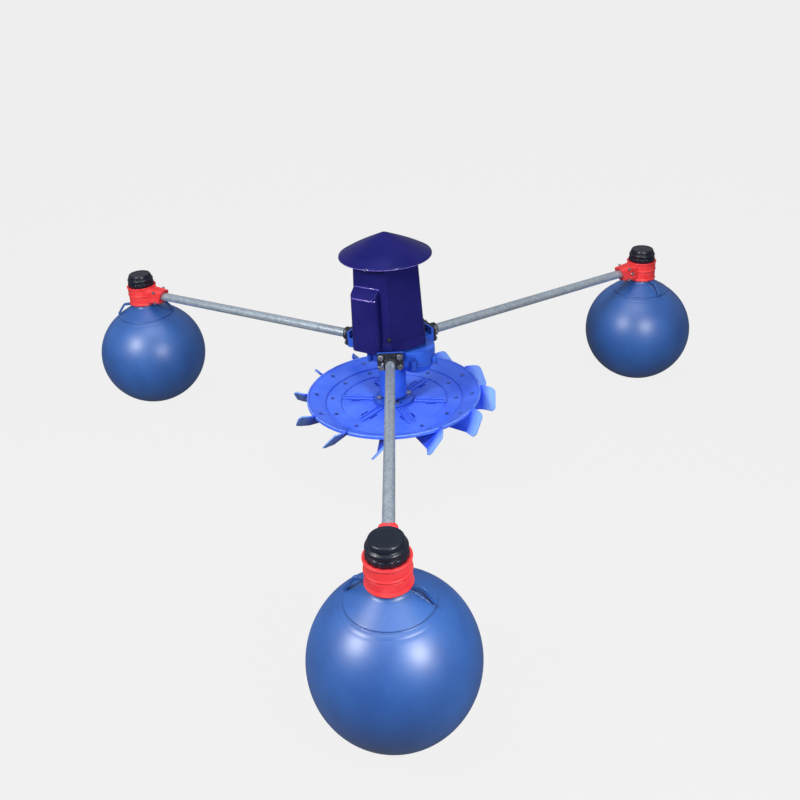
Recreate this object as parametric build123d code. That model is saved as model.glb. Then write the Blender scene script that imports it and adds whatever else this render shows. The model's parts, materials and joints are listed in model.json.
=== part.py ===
from build123d import *
import os
from math import atan, cos, degrees, radians, sin, sqrt, tan

# Pond surge aerator: a geared motor on three ball floats turns a bladed bowl at the water line.
# Millimetres. Sizes are written about the hub axis, with z = 0 on the axes of the three arm tubes.

# Layout
arm_reach = 978.0
arm_azimuths = {"front": -90.0, "right": 30.0, "left": 150.0}
float_radius = 175.0
float_drop = 225.0
float_wall = 4.0
foot_radius = 29.0

# Arm tubes and their sockets on the hub
tube_radius = 13.45
tube_wall = 2.6
tube_start = 118.0
socket_plate_width = 72.0
socket_plate_height = 48.0
socket_plate_thick = 8.0
socket_sleeve_radius = 19.0
socket_sleeve_length = 20.0
socket_bolt_side = 26.0
socket_bolt_rise = 15.0
socket_bolt_radius = 5.0
bolt_hole_clearance = 0.3
socket_hole_depth = 30.0
lock_bolt_radius = 3.0
lock_bolt_head = 5.7
tube_fit = 0.05

# Gear case
case_top = 6.0
case_parting = -32.0
case_wall = 6.0
case_radius = 66.0
lobe_offset = 84.0
lobe_radius = 53.0
lobe_azimuth = -30.0
lobe_foot_radius = 40.0
lobe_bottom = -62.0
lower_flange = 6.0
locating_plate = 16.0
plinth_radius = 82.0
pad_under_cover = 2.0
pad_end_thick = 7.0
column_radius = 39.0
column_neck_z = -54.0
column_bottom = -168.0
case_ear_radius = 8.0
case_ear_depth = 14.0
case_bolt_radius = 3.0
gasket_thick = 1.0

# Gear train
gear_module = 2.0
pinion_teeth = 16
wheel_teeth = 46
tooth_addendum = 1.4
tooth_dedendum = 2.2
tooth_share = 0.36
first_stage_top = -7.0
first_stage_width = 10.0
second_stage_top = -20.0
second_stage_width = 11.0
layshaft_radius = 8.5
layshaft_bearing_radius = 17.5
layshaft_bearing_width = 8.0
output_radius = 12.5
output_bearing_radius = 26.0
output_bearing_width = 14.0
lower_bearing_z = -150.0
column_bore = 20.0
seal_width = 8.0
running_clearance = 0.05
key_width = 8.0
key_depth = 3.0

# Motor
motor_shaft_radius = 9.5
motor_frame_radius = 62.0
motor_frame_wall = 4.0
motor_length = 154.0
motor_bell = 14.0
motor_flange = 8.0
motor_flange_step = 4.0
motor_bearing_radius = 20.0
motor_bearing_width = 10.0
rotor_core_radius = 34.0
rotor_core_length = 100.0
air_gap = 0.5
stator_length = 110.0
fan_radius = 46.0
fan_blades = 7
fan_height = 14.0
fan_gap = 4.0

# Motor cover, a six-sided hood with a bulge for the terminals; its corners stand over the arms
cover_turn = 60.0
cover_apothem = 99.0
cover_lift = 10.0
cover_height = 242.0
cover_draft = 2.6
cover_wall = 3.0
cover_corner = 15.0
skirt_height = 28.0
skirt_step = 2.5
bulge_reach = 121.0
bulge_width = 90.0
bulge_shift = 12.0
bulge_corner = 18.0
bulge_draft = 1.5
bulge_top = 205.0
bulge_root_inset = 15.0
bulge_shoulder = 172.5
bulge_crease = 5.0
vent_radius = 35.0
cover_post_width = 16.0
cover_post_depth = 12.0
cover_post_reach = 98.0
cover_post_rise = 8.0
cover_screw_z = 56.0
cover_screw_radius = 2.5
cover_screw_head = 5.5
cover_screw_recess = 4.0
cover_boss_radius = 9.0
cover_fit = 0.3

# Roof over the hood
roof_radius = 129.0
roof_rim_z = 270.0
roof_apex_z = 333.0
roof_crown_radius = 20.0
roof_crown_z = 334.5
roof_wall = 3.0
roof_lip = 5.0
roof_post_circle = 56.0
roof_post_radius = 6.0

# Terminal box and cable gland inside the bulge
terminal_width = 66.0
terminal_height = 108.0
terminal_lift = 8.0
terminal_clear = 7.0
gland_radius = 11.0
gland_bore = 4.5
gland_length = 20.0

# Impeller
rim_radius = 257.0
rim_z = -163.0
bowl_wall = 4.0
rim_lip_depth = 8.0
step_radius = 203.0
step_z = -183.0
step_drop = 2.5
floor_radius = 158.0
floor_edge_z = -188.0
floor_z = -190.0
channel_count = 6
channel_offset = -10.0
channel_width = 18.0
channel_height = 3.0
slot_length = 30.0
slot_width = 7.0
slot_circle = 112.0
slot_side = 17.0
blade_count = 12
blade_offset = -5.0
blade_pitch = 42.0
blade_tip_radius = 297.0
blade_root_radius = 176.0
blade_knee = 264.0
blade_sweep = 12.0
blade_thick = 4.5
blade_top_z = -159.0
blade_bottom_z = -202.0
blade_corner = 13.0
blade_foot_thick = 4.0
blade_foot_width = 26.0
blade_screw_circles = (185.0, 232.0)
blade_screw_radius = 2.5
blade_screw_head = 5.0
blade_screw_head_height = 2.2
blade_screw_lift = 0.06
blade_screw_length = 11.0
hub_flange_radius = 58.0
hub_flange_thick = 8.0
hub_sleeve_radius = 24.0
hub_gap = 2.0
hub_bolt_circle = 45.0
hub_bolt_count = 4
hub_bolt_offset = 15.0
hub_bolt_radius = 4.0
shaft_end_radius = 10.0
nut_flats = 30.0
nut_height = 14.0

# Float neck, clamp and cap
neck_radius = 39.7
neck_bore = 30.0
neck_base_z = -36.0
seam_radius = 90.0
clamp_bottom_z = -33.0
clamp_top_z = 28.0
clamp_radius = 46.0
clamp_lip = 2.0
clamp_rim = 3.0
clamp_ear_length = 58.0
clamp_ear_slant = 17.0
clamp_ear_width = 40.0
clamp_ear_root_width = 50.0
clamp_ear_height = 44.0
clamp_ear_corner = 10.0
clamp_slit = 1.6
clamp_bolt_reach = 76.0
clamp_bolt_rise = 18.5
clamp_bolt_radius = 2.5
clamp_bolt_head = 4.8
lock_bolt_reach = 62.0
tube_inset = 6.0
shoulder_fillet = 14.0
lug_reach = 96.0
lug_bend = 70.0
lug_bar = 7.0
lug_thick = 8.0
lug_corner = 16.0
lug_azimuths = {"front": -17.0, "right": -60.0, "left": -175.0}
spigot_radius = 34.0
spigot_height = 30.0
cap_radius = 42.4
cap_top_radius = 35.0
cap_height = 40.0
cap_grips = 16
cap_grip_radius = 5.0
cap_grip_depth = 1.4
cap_gap = 1.0
cap_clearance = 0.08
seal_disc_thick = 2.0

# Heights and places that follow from the sizes above
floor_level = -(float_drop + float_radius)
cover_base = case_top + cover_lift
plate_top = case_top + locating_plate
frame_bottom = plate_top + motor_bell
frame_top = frame_bottom + motor_length
fan_bottom = frame_top + motor_bell + fan_gap
cover_top = cover_base + cover_height
pad_end = tube_start + pad_end_thick - 1.0
beyond = arm_reach / 8
plate_face = pad_end + socket_plate_thick
centre_distance = gear_module * (pinion_teeth + wheel_teeth) / 2
hub_top = column_bottom - hub_gap
hub_flange_bottom = floor_edge_z
hub_flange_top = hub_flange_bottom + hub_flange_thick
seam_z = -float_drop + sqrt(float_radius ** 2 - seam_radius ** 2)
placing = Location((0, arm_reach / 4, -floor_level))


def turned(*points):
    """Solid of revolution about Z from (radius, height) corners."""
    return revolve(make_face(Plane.XZ * Polyline(*points, close=True)), Axis.Z)


def rod(radius, low, high, x=0.0, y=0.0):
    """Upright round bar between two heights."""
    bar = Cylinder(radius, high - low, align=(Align.CENTER, Align.CENTER, Align.MIN))
    return Pos(x, y, low) * bar


def collar(outer, inner, low, high, x=0.0, y=0.0):
    """Upright ring between two heights."""
    return rod(outer, low, high, x, y) - rod(inner, low - 1, high + 1, x, y)


def block(x_range, y_range, z_range):
    """Box between three pairs of limits."""
    sizes = [high - low for low, high in (x_range, y_range, z_range)]
    return Pos(x_range[0], y_range[0], z_range[0]) * Box(*sizes, align=(Align.MIN,) * 3)


def along(radius, start, end):
    """Round bar along +X, from one distance to another."""
    bar = Cylinder(radius, end - start, align=(Align.CENTER, Align.CENTER, Align.MIN))
    return Pos(start, 0, 0) * Rot(0, 90, 0) * bar


def turned_by(angle, shape):
    """The shape turned about the hub axis."""
    return Rot(0, 0, angle) * shape


def polar(radius, azimuth):
    """Point in plan at a radius and an azimuth."""
    return radius * cos(radians(azimuth)), radius * sin(radians(azimuth))


def bundle(shapes):
    """Separate solids kept together in one node."""
    return Compound(children=[solid for shape in shapes for solid in shape.solids()])


def softened(outline, corners):
    """Flat profile with some corners rounded; each entry of corners is (radius, height, fillet)."""
    face = make_face(Polyline(*outline, close=True))
    for radius, height, size in corners:
        face = fillet(face.vertices().sort_by_distance((radius, height, 0))[0], size)
    return face


def turned_soft(outline, corners):
    """Solid of revolution about Z with some corners of its profile rounded."""
    return revolve(Plane.XZ * softened(outline, corners), Axis.Z)


def rounded_hexagon(apothem, corner):
    """Six-sided plan with a corner on each arm's azimuth."""
    plan = RegularPolygon(apothem, 6, major_radius=False, rotation=30)
    return fillet(plan.vertices(), corner)


def hull_plan(inset):
    """Outline of the gear case: a round body with a smaller round lobe beside it."""
    lobe = Pos(*polar(lobe_offset, lobe_azimuth)) * Circle(lobe_radius - inset)
    return make_hull([*Circle(case_radius - inset).edges(), *lobe.edges()])


# Hood, roof and what they hold

def cover_body(inset, top):
    """The tapered hood up to a height, inset by a wall."""
    plan = Pos(0, 0, cover_base) * rounded_hexagon(cover_apothem - inset, cover_corner - inset)
    return extrude(plan, top - cover_base, taper=cover_draft)


def bulge_body(inset):
    """Terminal bulge on the -X side of the unturned hood, with a sloped shoulder."""
    reach = bulge_reach - inset
    corner = bulge_corner - inset
    plan = Pos(-reach / 2, bulge_shift, cover_base) * RectangleRounded(reach, bulge_width - 2 * inset, corner)
    side = softened([(0, cover_base), (-reach, cover_base), (-reach, bulge_shoulder - inset),
                     (-cover_apothem + bulge_root_inset, bulge_top - inset), (0, bulge_top - inset)],
                    [(-reach, bulge_shoulder - inset, 2 * bulge_crease)])
    profile = extrude(Plane.XZ * side, bulge_width, both=True)
    body = extrude(plan, bulge_top - cover_base, taper=bulge_draft) & profile
    if inset:
        return body
    slopes = body.faces().filter_by(lambda face: 0.3 < face.normal_at().Z < 0.9)
    sides = [edge for edge in slopes.edges() if abs(edge.center().Y - bulge_shift) > bulge_width / 3]
    return fillet(sides, bulge_crease)


def cover_vertex(z, inset):
    """Radius of the hood's rounded corner at a height."""
    apothem = cover_apothem - inset - (z - cover_base) * tan(radians(cover_draft))
    return apothem / cos(radians(30)) - (cover_corner - inset) * (1 / cos(radians(30)) - 1)


def cover_screw_seat():
    return cover_vertex(cover_screw_z, 0) - cover_screw_recess


def at_hood_corners(shape):
    """Copies of a shape built along +X, raised to the screws' height over each of the three arms."""
    return [turned_by(azimuth, Pos(0, 0, cover_screw_z) * shape) for azimuth in arm_azimuths.values()]


def make_motor_cover():
    shell = cover_body(0, cover_top) + bulge_body(0)
    skirt = Pos(0, 0, cover_base) * rounded_hexagon(cover_apothem + skirt_step, cover_corner + skirt_step)
    shell += extrude(skirt, skirt_height, taper=cover_draft)
    shell -= cover_body(cover_wall, cover_top - cover_wall)
    shell -= bulge_body(cover_wall)
    shell -= rod(vent_radius, cover_top - 2 * cover_wall, cover_top + 1)
    shell = turned_by(cover_turn, shell)
    for boss in at_hood_corners(along(cover_boss_radius, cover_post_reach + cover_fit, cover_screw_seat() + 1)):
        shell += boss
    outside = cover_vertex(cover_base, 0) + 1
    for recess in at_hood_corners(along(cover_boss_radius - 2, cover_screw_seat(), outside)):
        shell -= recess
    hole = along(cover_screw_radius + bolt_hole_clearance, cover_post_reach - 1, outside)
    for cut in at_hood_corners(hole):
        shell -= cut
    return shell


def make_cover_screws():
    seat = cover_screw_seat()
    shank = along(cover_screw_radius, cover_post_reach - cover_post_depth + 2, seat)
    return bundle(at_hood_corners(shank + along(cover_screw_head, seat, seat + 3)))


def cover_posts():
    """Upstands on the arm pads that the hood is screwed to."""
    foot = case_top - pad_under_cover - 1 - cover_screw_z
    post = block((cover_post_reach - cover_post_depth, cover_post_reach),
                 (-cover_post_width / 2, cover_post_width / 2), (foot, cover_post_rise))
    hole = along(cover_screw_radius + bolt_hole_clearance, cover_post_reach - cover_post_depth - 1,
                 cover_post_reach + 1)
    return at_hood_corners(post - hole)


def roof_slope_z(radius):
    """Height of the roof's sloping face at a radius."""
    return roof_rim_z + (roof_apex_z - roof_rim_z) * (roof_radius - radius) / roof_radius


def roof_drop():
    """Upright thickness of the sloping wall."""
    slope = (roof_apex_z - roof_rim_z) / roof_radius
    return roof_wall * sqrt(1 + slope ** 2)


def make_cover_roof():
    """Shallow cone with a domed crown and a rounded, turned-down rim."""
    crown = roof_crown_radius
    inner = roof_radius - roof_wall
    inner_crown_z = roof_slope_z(crown) - roof_drop()
    rise = roof_crown_z - roof_slope_z(crown)
    dome = ThreePointArc((0, roof_crown_z), (crown * 0.57, roof_crown_z - rise * 0.27),
                         (crown, roof_slope_z(crown)))
    walls = Polyline((crown, roof_slope_z(crown)), (roof_radius, roof_rim_z), (roof_radius, roof_rim_z - roof_lip),
                     (inner, roof_rim_z - roof_lip), (inner, roof_slope_z(inner) - roof_drop()),
                     (crown, inner_crown_z), (0, inner_crown_z), (0, roof_crown_z))
    face = make_face([*dome.edges(), *walls.edges()])
    rim = face.vertices().sort_by_distance((roof_radius, roof_rim_z, 0))[0]
    return revolve(Plane.XZ * fillet(rim, roof_wall * 0.9), Axis.Z)


def make_roof_posts():
    above = turned((0, roof_slope_z(0) - roof_drop()), (roof_radius, roof_rim_z - roof_drop()),
                   (roof_radius, roof_apex_z + beyond), (0, roof_apex_z + beyond))
    posts = []
    for index in range(4):
        x, y = polar(roof_post_circle, 90 * index)
        posts.append(rod(roof_post_radius, cover_top, roof_apex_z, x, y) - above)
    return bundle(posts)


def make_terminal_box():
    back = bulge_reach - cover_wall - terminal_clear
    low = cover_base + terminal_lift
    left, right = bulge_shift - terminal_width / 2, bulge_shift + terminal_width / 2
    box = block((-back, -motor_frame_radius * 0.6), (left, right), (low, low + terminal_height))
    box -= rod(motor_frame_radius + motor_flange_step + 1, low - 1, low + terminal_height + 1)
    box -= rod(gland_radius * 0.7, low - 1, low + 6, *gland_place())
    hollow = block((-back + 3, 0), (left + 3, right - 3), (low + 5, low + terminal_height - 3))
    box -= hollow - rod(motor_frame_radius + motor_flange_step + 4, low, low + terminal_height)
    neck = along(12, motor_frame_radius - 5, motor_frame_radius + motor_flange_step + 3)
    box += Pos(0, 0, low + terminal_height / 2) * Rot(0, 0, 180) * neck
    box -= rod(motor_frame_radius, low - 1, low + terminal_height + 1)
    return turned_by(cover_turn, box)


def gland_place():
    return -(bulge_reach - cover_wall - terminal_clear - gland_radius - 4), bulge_shift


def make_cable_gland():
    x, y = gland_place()
    top = cover_base + terminal_lift
    flats = Pos(x, y, top - 6) * extrude(RegularPolygon(gland_radius, 6), 6)
    body = flats + rod(gland_radius * 0.7, top - 1, top + 5, x, y)
    dome = Pos(x, y, 0) * turned((0, top - 6), (gland_radius * 0.85, top - 6), (gland_radius * 0.85, top - 14),
                                 (gland_radius * 0.6, top - gland_length), (0, top - gland_length))
    return turned_by(cover_turn, body + dome - rod(gland_bore, top - gland_length - 1, top + 6, x, y))


# Motor

def make_motor_frame():
    shell = collar(motor_frame_radius, motor_frame_radius - motor_frame_wall, frame_bottom, frame_top)
    return shell


def bell(low, bearing_low, seat_outwards):
    """End bell with a bearing pocket; the pocket opens towards the windings."""
    high = low + motor_bell
    body = rod(motor_frame_radius, low, high)
    body -= rod(motor_bearing_radius, bearing_low, bearing_low + motor_bearing_width + seat_outwards)
    return body - rod(motor_shaft_radius + 1.5, low - 1, high + 1)


def make_lower_bell():
    bearing_low = frame_bottom - motor_bearing_width
    foot = rod(motor_frame_radius + motor_flange_step, plate_top, plate_top + motor_flange)
    return bell(plate_top, bearing_low, 1) + (foot - rod(motor_frame_radius - 5, plate_top - 1, frame_bottom))


def make_upper_bell():
    bearing_low = frame_top
    body = rod(motor_frame_radius, frame_top, frame_top + motor_bell)
    body -= rod(motor_bearing_radius, bearing_low - 1, bearing_low + motor_bearing_width)
    return body - rod(motor_shaft_radius + 1.5, frame_top - 1, frame_top + motor_bell + 1)


def make_motor_bearings():
    inner = motor_shaft_radius + running_clearance
    low = frame_bottom - motor_bearing_width
    return bundle([collar(motor_bearing_radius, inner, low, frame_bottom),
                   collar(motor_bearing_radius, inner, frame_top, frame_top + motor_bearing_width)])


def make_stator():
    middle = (frame_bottom + frame_top) / 2
    inner = rotor_core_radius + air_gap
    return collar(motor_frame_radius - motor_frame_wall, inner,
                  middle - stator_length / 2, middle + stator_length / 2)


def make_rotor_core():
    middle = (frame_bottom + frame_top) / 2
    return collar(rotor_core_radius, motor_shaft_radius,
                  middle - rotor_core_length / 2, middle + rotor_core_length / 2)


def make_rotor_shaft():
    return rod(motor_shaft_radius, first_stage_top - first_stage_width, fan_bottom + fan_height)


def make_cooling_fan():
    hub = collar(motor_shaft_radius + 5, motor_shaft_radius, fan_bottom, fan_bottom + fan_height)
    disc = collar(fan_radius, motor_shaft_radius, fan_bottom, fan_bottom + 2.5)
    fan = hub + disc
    for index in range(fan_blades):
        blade = block((motor_shaft_radius + 3, fan_radius), (-1, 1), (fan_bottom, fan_bottom + fan_height))
        fan += turned_by(360 / fan_blades * index, blade)
    return fan


# Gear train

def gear(teeth, width, low, bore, first_tooth):
    """Spur gear with straight-sided teeth, one of them centred on the azimuth first_tooth."""
    pitch_radius = gear_module * teeth / 2
    tip = pitch_radius + tooth_addendum
    root = pitch_radius - tooth_dedendum
    half_pitch = tooth_share * 180 / teeth
    half_tip = half_pitch * 0.62
    half_root = half_pitch * 1.45
    corners = []
    for index in range(teeth):
        middle = first_tooth + 360 / teeth * index
        corners += [polar(root, middle - half_root), polar(tip, middle - half_tip),
                    polar(tip, middle + half_tip), polar(root, middle + half_root)]
    wheel = Pos(0, 0, low) * extrude(make_face(Polyline(*corners, close=True)), width)
    return wheel - rod(bore, low - 1, low + width + 1)


def lay_place():
    return polar(centre_distance, lobe_azimuth)


def at_layshaft(shape):
    return Pos(*lay_place(), 0) * shape


def make_motor_pinion():
    low = first_stage_top - first_stage_width
    return gear(pinion_teeth, first_stage_width, low, motor_shaft_radius, lobe_azimuth)


def make_layshaft_gear():
    low = first_stage_top - first_stage_width
    gap_first = lobe_azimuth + 180 + 180 / wheel_teeth
    return at_layshaft(gear(wheel_teeth, first_stage_width, low, layshaft_radius, gap_first))


def make_layshaft_pinion():
    low = second_stage_top - second_stage_width
    return at_layshaft(gear(pinion_teeth, second_stage_width, low, layshaft_radius, lobe_azimuth + 180))


def make_output_gear():
    low = second_stage_top - second_stage_width
    gap_first = lobe_azimuth + 180 / wheel_teeth
    wheel = gear(wheel_teeth, second_stage_width, low, output_radius, gap_first)
    return wheel - key_block(low - 1, second_stage_top + 1)


def key_block(low, high):
    return block((output_radius - key_depth, output_radius + key_depth), (-key_width / 2, key_width / 2),
                 (low, high))


def make_shaft_key():
    return key_block(second_stage_top - second_stage_width, second_stage_top)


def layshaft_low():
    return case_parting - lower_flange - layshaft_bearing_width


def layshaft_high():
    return first_stage_top + 3 + layshaft_bearing_width


def make_layshaft():
    return at_layshaft(rod(layshaft_radius, layshaft_low(), layshaft_high()))


def make_layshaft_bearings():
    inner = layshaft_radius + running_clearance
    low = layshaft_low()
    high = layshaft_high()
    return bundle([at_layshaft(collar(layshaft_bearing_radius, inner, low, low + layshaft_bearing_width)),
                   at_layshaft(collar(layshaft_bearing_radius, inner, high - layshaft_bearing_width, high))])


def make_output_bearings():
    inner = output_radius + running_clearance
    high = case_parting - 1
    return bundle([collar(output_bearing_radius, inner, high - output_bearing_width, high),
                   collar(output_bearing_radius, inner, lower_bearing_z, lower_bearing_z + output_bearing_width)])


def make_oil_seal():
    return collar(output_bearing_radius, output_radius + running_clearance,
                  column_bottom, column_bottom + seal_width)


def make_output_shaft():
    shaft_end = hub_flange_bottom - bowl_wall - nut_height - 8
    body = turned((0, second_stage_top + 1), (output_radius, second_stage_top + 1), (output_radius, hub_top),
                  (shaft_end_radius, hub_top), (shaft_end_radius, shaft_end), (0, shaft_end))
    return body - key_block(second_stage_top - second_stage_width, second_stage_top + 2)


# Gear case

def case_ear_places():
    """Bolt ears round the parting line, clear of the arm pads."""
    ear_circle = case_radius + case_ear_radius / 2
    places = [polar(ear_circle, 90), polar(ear_circle, -150)]
    centre_x, centre_y = polar(lobe_offset, lobe_azimuth)
    for turn in (-70, 0, 70):
        x, y = polar(lobe_radius + case_ear_radius / 2, lobe_azimuth + turn)
        places.append((centre_x + x, centre_y + y))
    return places


def arm_pad():
    """Casting arm along +X that carries one tube socket, low under the hood and full height past it."""
    half = socket_plate_width / 2
    low = -socket_plate_height / 2
    arm = block((case_radius - 20, pad_end), (-half, half), (low, case_top - pad_under_cover))
    end = block((tube_start - 1, pad_end), (-half, half), (low, socket_plate_height / 2))
    pad = arm + end
    pad -= along(tube_radius + tube_fit, tube_start - 1, pad_end + 1)
    for side in (-socket_bolt_side, socket_bolt_side):
        for rise in (-socket_bolt_rise, socket_bolt_rise):
            pad -= Pos(0, side, rise) * along(socket_bolt_radius + bolt_hole_clearance,
                                              pad_end - socket_hole_depth, pad_end + 1)
    return pad


def make_gear_case():
    plan = Pos(0, 0, case_parting) * hull_plan(0)
    body = extrude(plan, case_top - case_parting)
    body += rod(plinth_radius, case_top, plate_top)
    for azimuth in arm_azimuths.values():
        body += turned_by(azimuth, arm_pad())
    for x, y in case_ear_places():
        body += rod(case_ear_radius, case_parting, case_parting + case_ear_depth, x, y)
    roof = first_stage_top + 3
    body -= extrude(Pos(0, 0, case_parting - 1) * hull_plan(case_wall), roof - case_parting + 1)
    for post in cover_posts():
        body += post
    body -= at_layshaft(rod(layshaft_bearing_radius, roof - 1, layshaft_high()))
    body -= rod(motor_shaft_radius + 4, roof - 1, plate_top + 1)
    for x, y in case_ear_places():
        body -= rod(case_bolt_radius + bolt_hole_clearance, case_parting - 1, case_parting + 10, x, y)
    return body


def make_column_housing():
    """Lower half of the gear case: flange, lobe foot and the column round the output shaft."""
    top = case_parting - gasket_thick
    flange_low = top - lower_flange
    body = extrude(Pos(0, 0, flange_low) * hull_plan(0), lower_flange)
    lobe_height = flange_low - lobe_bottom
    cone = Cone(lobe_foot_radius, lobe_radius - 2, lobe_height, align=(Align.CENTER, Align.CENTER, Align.MIN))
    body += Pos(*polar(lobe_offset, lobe_azimuth), lobe_bottom) * cone
    body += turned((0, flange_low), (case_radius - 2, flange_low), (column_radius, column_neck_z),
                   (column_radius, column_bottom), (0, column_bottom))
    for x, y in case_ear_places():
        body += rod(case_ear_radius, flange_low, top, x, y)
    body -= rod(column_bore, column_bottom - 1, top + 1)
    body -= rod(output_bearing_radius, case_parting - 1 - output_bearing_width, top + 1)
    body -= rod(output_bearing_radius, column_bottom - 1, lower_bearing_z + output_bearing_width)
    body -= at_layshaft(rod(layshaft_bearing_radius, layshaft_low(), top + 1))
    for x, y in case_ear_places():
        body -= rod(case_bolt_radius + bolt_hole_clearance, flange_low - 1, top + 1, x, y)
    return body


def make_case_gasket():
    plan = Pos(0, 0, case_parting - gasket_thick) * (hull_plan(0) - hull_plan(case_wall))
    return extrude(plan, gasket_thick)


def make_case_bolts():
    top = case_parting - gasket_thick
    head_top = top - lower_flange
    bolts = []
    for x, y in case_ear_places():
        head = Pos(x, y, head_top - 4) * extrude(RegularPolygon(1.9 * case_bolt_radius, 6), 4)
        bolts.append(head + rod(case_bolt_radius, head_top, case_parting + 9, x, y))
    return bundle(bolts)


# Impeller

def bowl_top_line():
    """Upper face of the bowl, from the hub outwards."""
    return [(floor_radius, floor_z), (floor_radius + 2, floor_edge_z), (step_radius, step_z - step_drop),
            (step_radius + 2, step_z), (rim_radius - 3, rim_z - 1)]


def bowl_under_line():
    """Lower face of the bowl, from the rim inwards."""
    return [(rim_radius, rim_z - rim_lip_depth), (rim_radius - bowl_wall, rim_z - rim_lip_depth),
            (rim_radius - bowl_wall, rim_z - 2 - bowl_wall), (step_radius + 3, step_z - bowl_wall),
            (step_radius + 1, step_z - step_drop - bowl_wall), (floor_radius, floor_z - bowl_wall),
            (0, floor_z - bowl_wall)]


def make_impeller_bowl():
    bowl = turned((0, floor_z), *bowl_top_line(), (rim_radius - 2, rim_z), (rim_radius, rim_z),
                  *bowl_under_line())
    bowl += rod(hub_flange_radius + 4, floor_z - 1, floor_edge_z)
    for index in range(channel_count):
        turn = channel_offset + 360 / channel_count * index
        bar = block((hub_flange_radius, floor_radius - 1), (-channel_width / 2, channel_width / 2),
                    (floor_z - 1, floor_z + channel_height))
        groove = block((hub_flange_radius + 8, floor_radius - 8), (-channel_width / 2 + 3, channel_width / 2 - 3),
                       (floor_z + 1, floor_z + channel_height + 1))
        bowl += turned_by(turn, bar - groove)
    for index in range(channel_count):
        turn = channel_offset + 360 / channel_count * index
        for side in (-slot_side, slot_side):
            slot = SlotOverall(slot_length, slot_width)
            cut = extrude(Pos(slot_circle, side, floor_z - bowl_wall - 1) * slot, bowl_wall + 2)
            bowl -= turned_by(turn, cut)
    bowl -= rod(hub_sleeve_radius, floor_z - bowl_wall - 1, floor_edge_z + 1)
    for hole in hub_bolt_shanks(hub_bolt_radius + bolt_hole_clearance):
        bowl -= hole
    for hole in blade_screw_holes():
        bowl -= hole
    return bowl


def foot_line(drop):
    """Line of the bowl's lower face between the blade's ends, lowered by a thickness."""
    under = [point for point in reversed(bowl_under_line()) if point[0] < rim_radius - bowl_wall]
    inner_z = floor_z - bowl_wall + (blade_root_radius - floor_radius) * foot_slope()
    points = [(blade_root_radius, inner_z)] + [point for point in under if point[0] > blade_root_radius]
    outer = rim_radius - bowl_wall - 4
    start, end = (step_radius + 3, step_z - bowl_wall), (rim_radius - bowl_wall, rim_z - 2 - bowl_wall)
    outer_z = start[1] + (outer - start[0]) * (end[1] - start[1]) / (end[0] - start[0])
    points.append((outer, outer_z))
    return [(radius, height - drop) for radius, height in points]


def foot_slope():
    """Rise of the bowl's lower face per millimetre between the floor's edge and the step."""
    rise = (step_z - step_drop) - floor_z
    return rise / (step_radius + 1 - floor_radius)


def make_one_blade():
    """Pitched paddle under the bowl with a bent tip and a foot that is screwed to the bowl."""
    lean = tan(radians(blade_pitch))
    low = blade_bottom_z
    height = blade_top_z - blade_bottom_z
    half = height * lean / 2
    band = blade_thick / cos(radians(blade_pitch)) / 2
    plan = Polyline((blade_root_radius, -half - band), (blade_knee, -half - band),
                    (blade_tip_radius, -half - band - blade_sweep), (blade_tip_radius, -half + band - blade_sweep),
                    (blade_knee, -half + band), (blade_root_radius, -half + band), close=True)
    slant = Vector(0, lean, 1)
    plate = extrude(Pos(0, 0, low) * make_face(plan), height * slant.length, dir=slant.normalized())
    outline = Polyline((blade_root_radius, floor_z - bowl_wall - blade_foot_thick), (rim_radius - 30, low),
                       (blade_tip_radius, low), (blade_tip_radius, blade_top_z), (blade_root_radius, blade_top_z),
                       close=True)
    face = make_face(outline)
    outer_corners = face.vertices().group_by(Axis.X)[-1]
    face = fillet(outer_corners, blade_corner)
    side = extrude(Plane.XZ * face, 3 * height, both=True)
    foot_ring = turned(*foot_line(0), *reversed(foot_line(blade_foot_thick)))
    wide = blade_foot_width / 2
    foot = foot_ring & block((blade_root_radius - 5, rim_radius), (-wide, wide), (blade_bottom_z - 30, rim_z))
    sky = turned((0, rim_z + beyond), (rim_radius + 0.5, rim_z + beyond), *bowl_under_line_cut())
    return (plate & side) - sky + foot


def bowl_under_line_cut():
    """Lower face of the bowl with the rim's edge widened, to trim the paddles."""
    points = bowl_under_line()
    return [(rim_radius + 0.5, points[0][1])] + points[1:]


def blade_screw_bars(radius, low, high):
    """Bars between two levels about each blade screw's seat, square to the bowl's upper face."""
    bars = []
    upper = bowl_top_line()
    for circle, start, end in zip(blade_screw_circles, (upper[1], upper[3]), (upper[2], upper[4])):
        slope = (end[1] - start[1]) / (end[0] - start[0])
        seat = start[1] + (circle - start[0]) * slope
        placed = Pos(circle, 0, seat) * Rot(0, -degrees(atan(slope)), 0) * rod(radius, low, high)
        bars += [turned_by(blade_offset + 360 / blade_count * index, placed) for index in range(blade_count)]
    return bars


def blade_screw_holes():
    return blade_screw_bars(blade_screw_radius + bolt_hole_clearance, -blade_screw_length - 4, 2)


def make_impeller_blades():
    blade = make_one_blade()
    holes = blade_screw_holes()
    first_holes = [holes[0], holes[blade_count]]
    blade = turned_by(blade_offset, blade)
    for hole in first_holes:
        blade -= hole
    return bundle([turned_by(360 / blade_count * index, blade) for index in range(blade_count)])


def make_blade_screws():
    shanks = blade_screw_bars(blade_screw_radius, -blade_screw_length, 1)
    heads = blade_screw_bars(blade_screw_head, blade_screw_lift, blade_screw_head_height)
    return bundle([shank + head for shank, head in zip(shanks, heads)])


def hub_bolt_shanks(radius):
    low = floor_z - bowl_wall - 2
    return [rod(radius, low, hub_flange_top, *polar(hub_bolt_circle, hub_bolt_offset + 360 / hub_bolt_count * i))
            for i in range(hub_bolt_count)]


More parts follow.
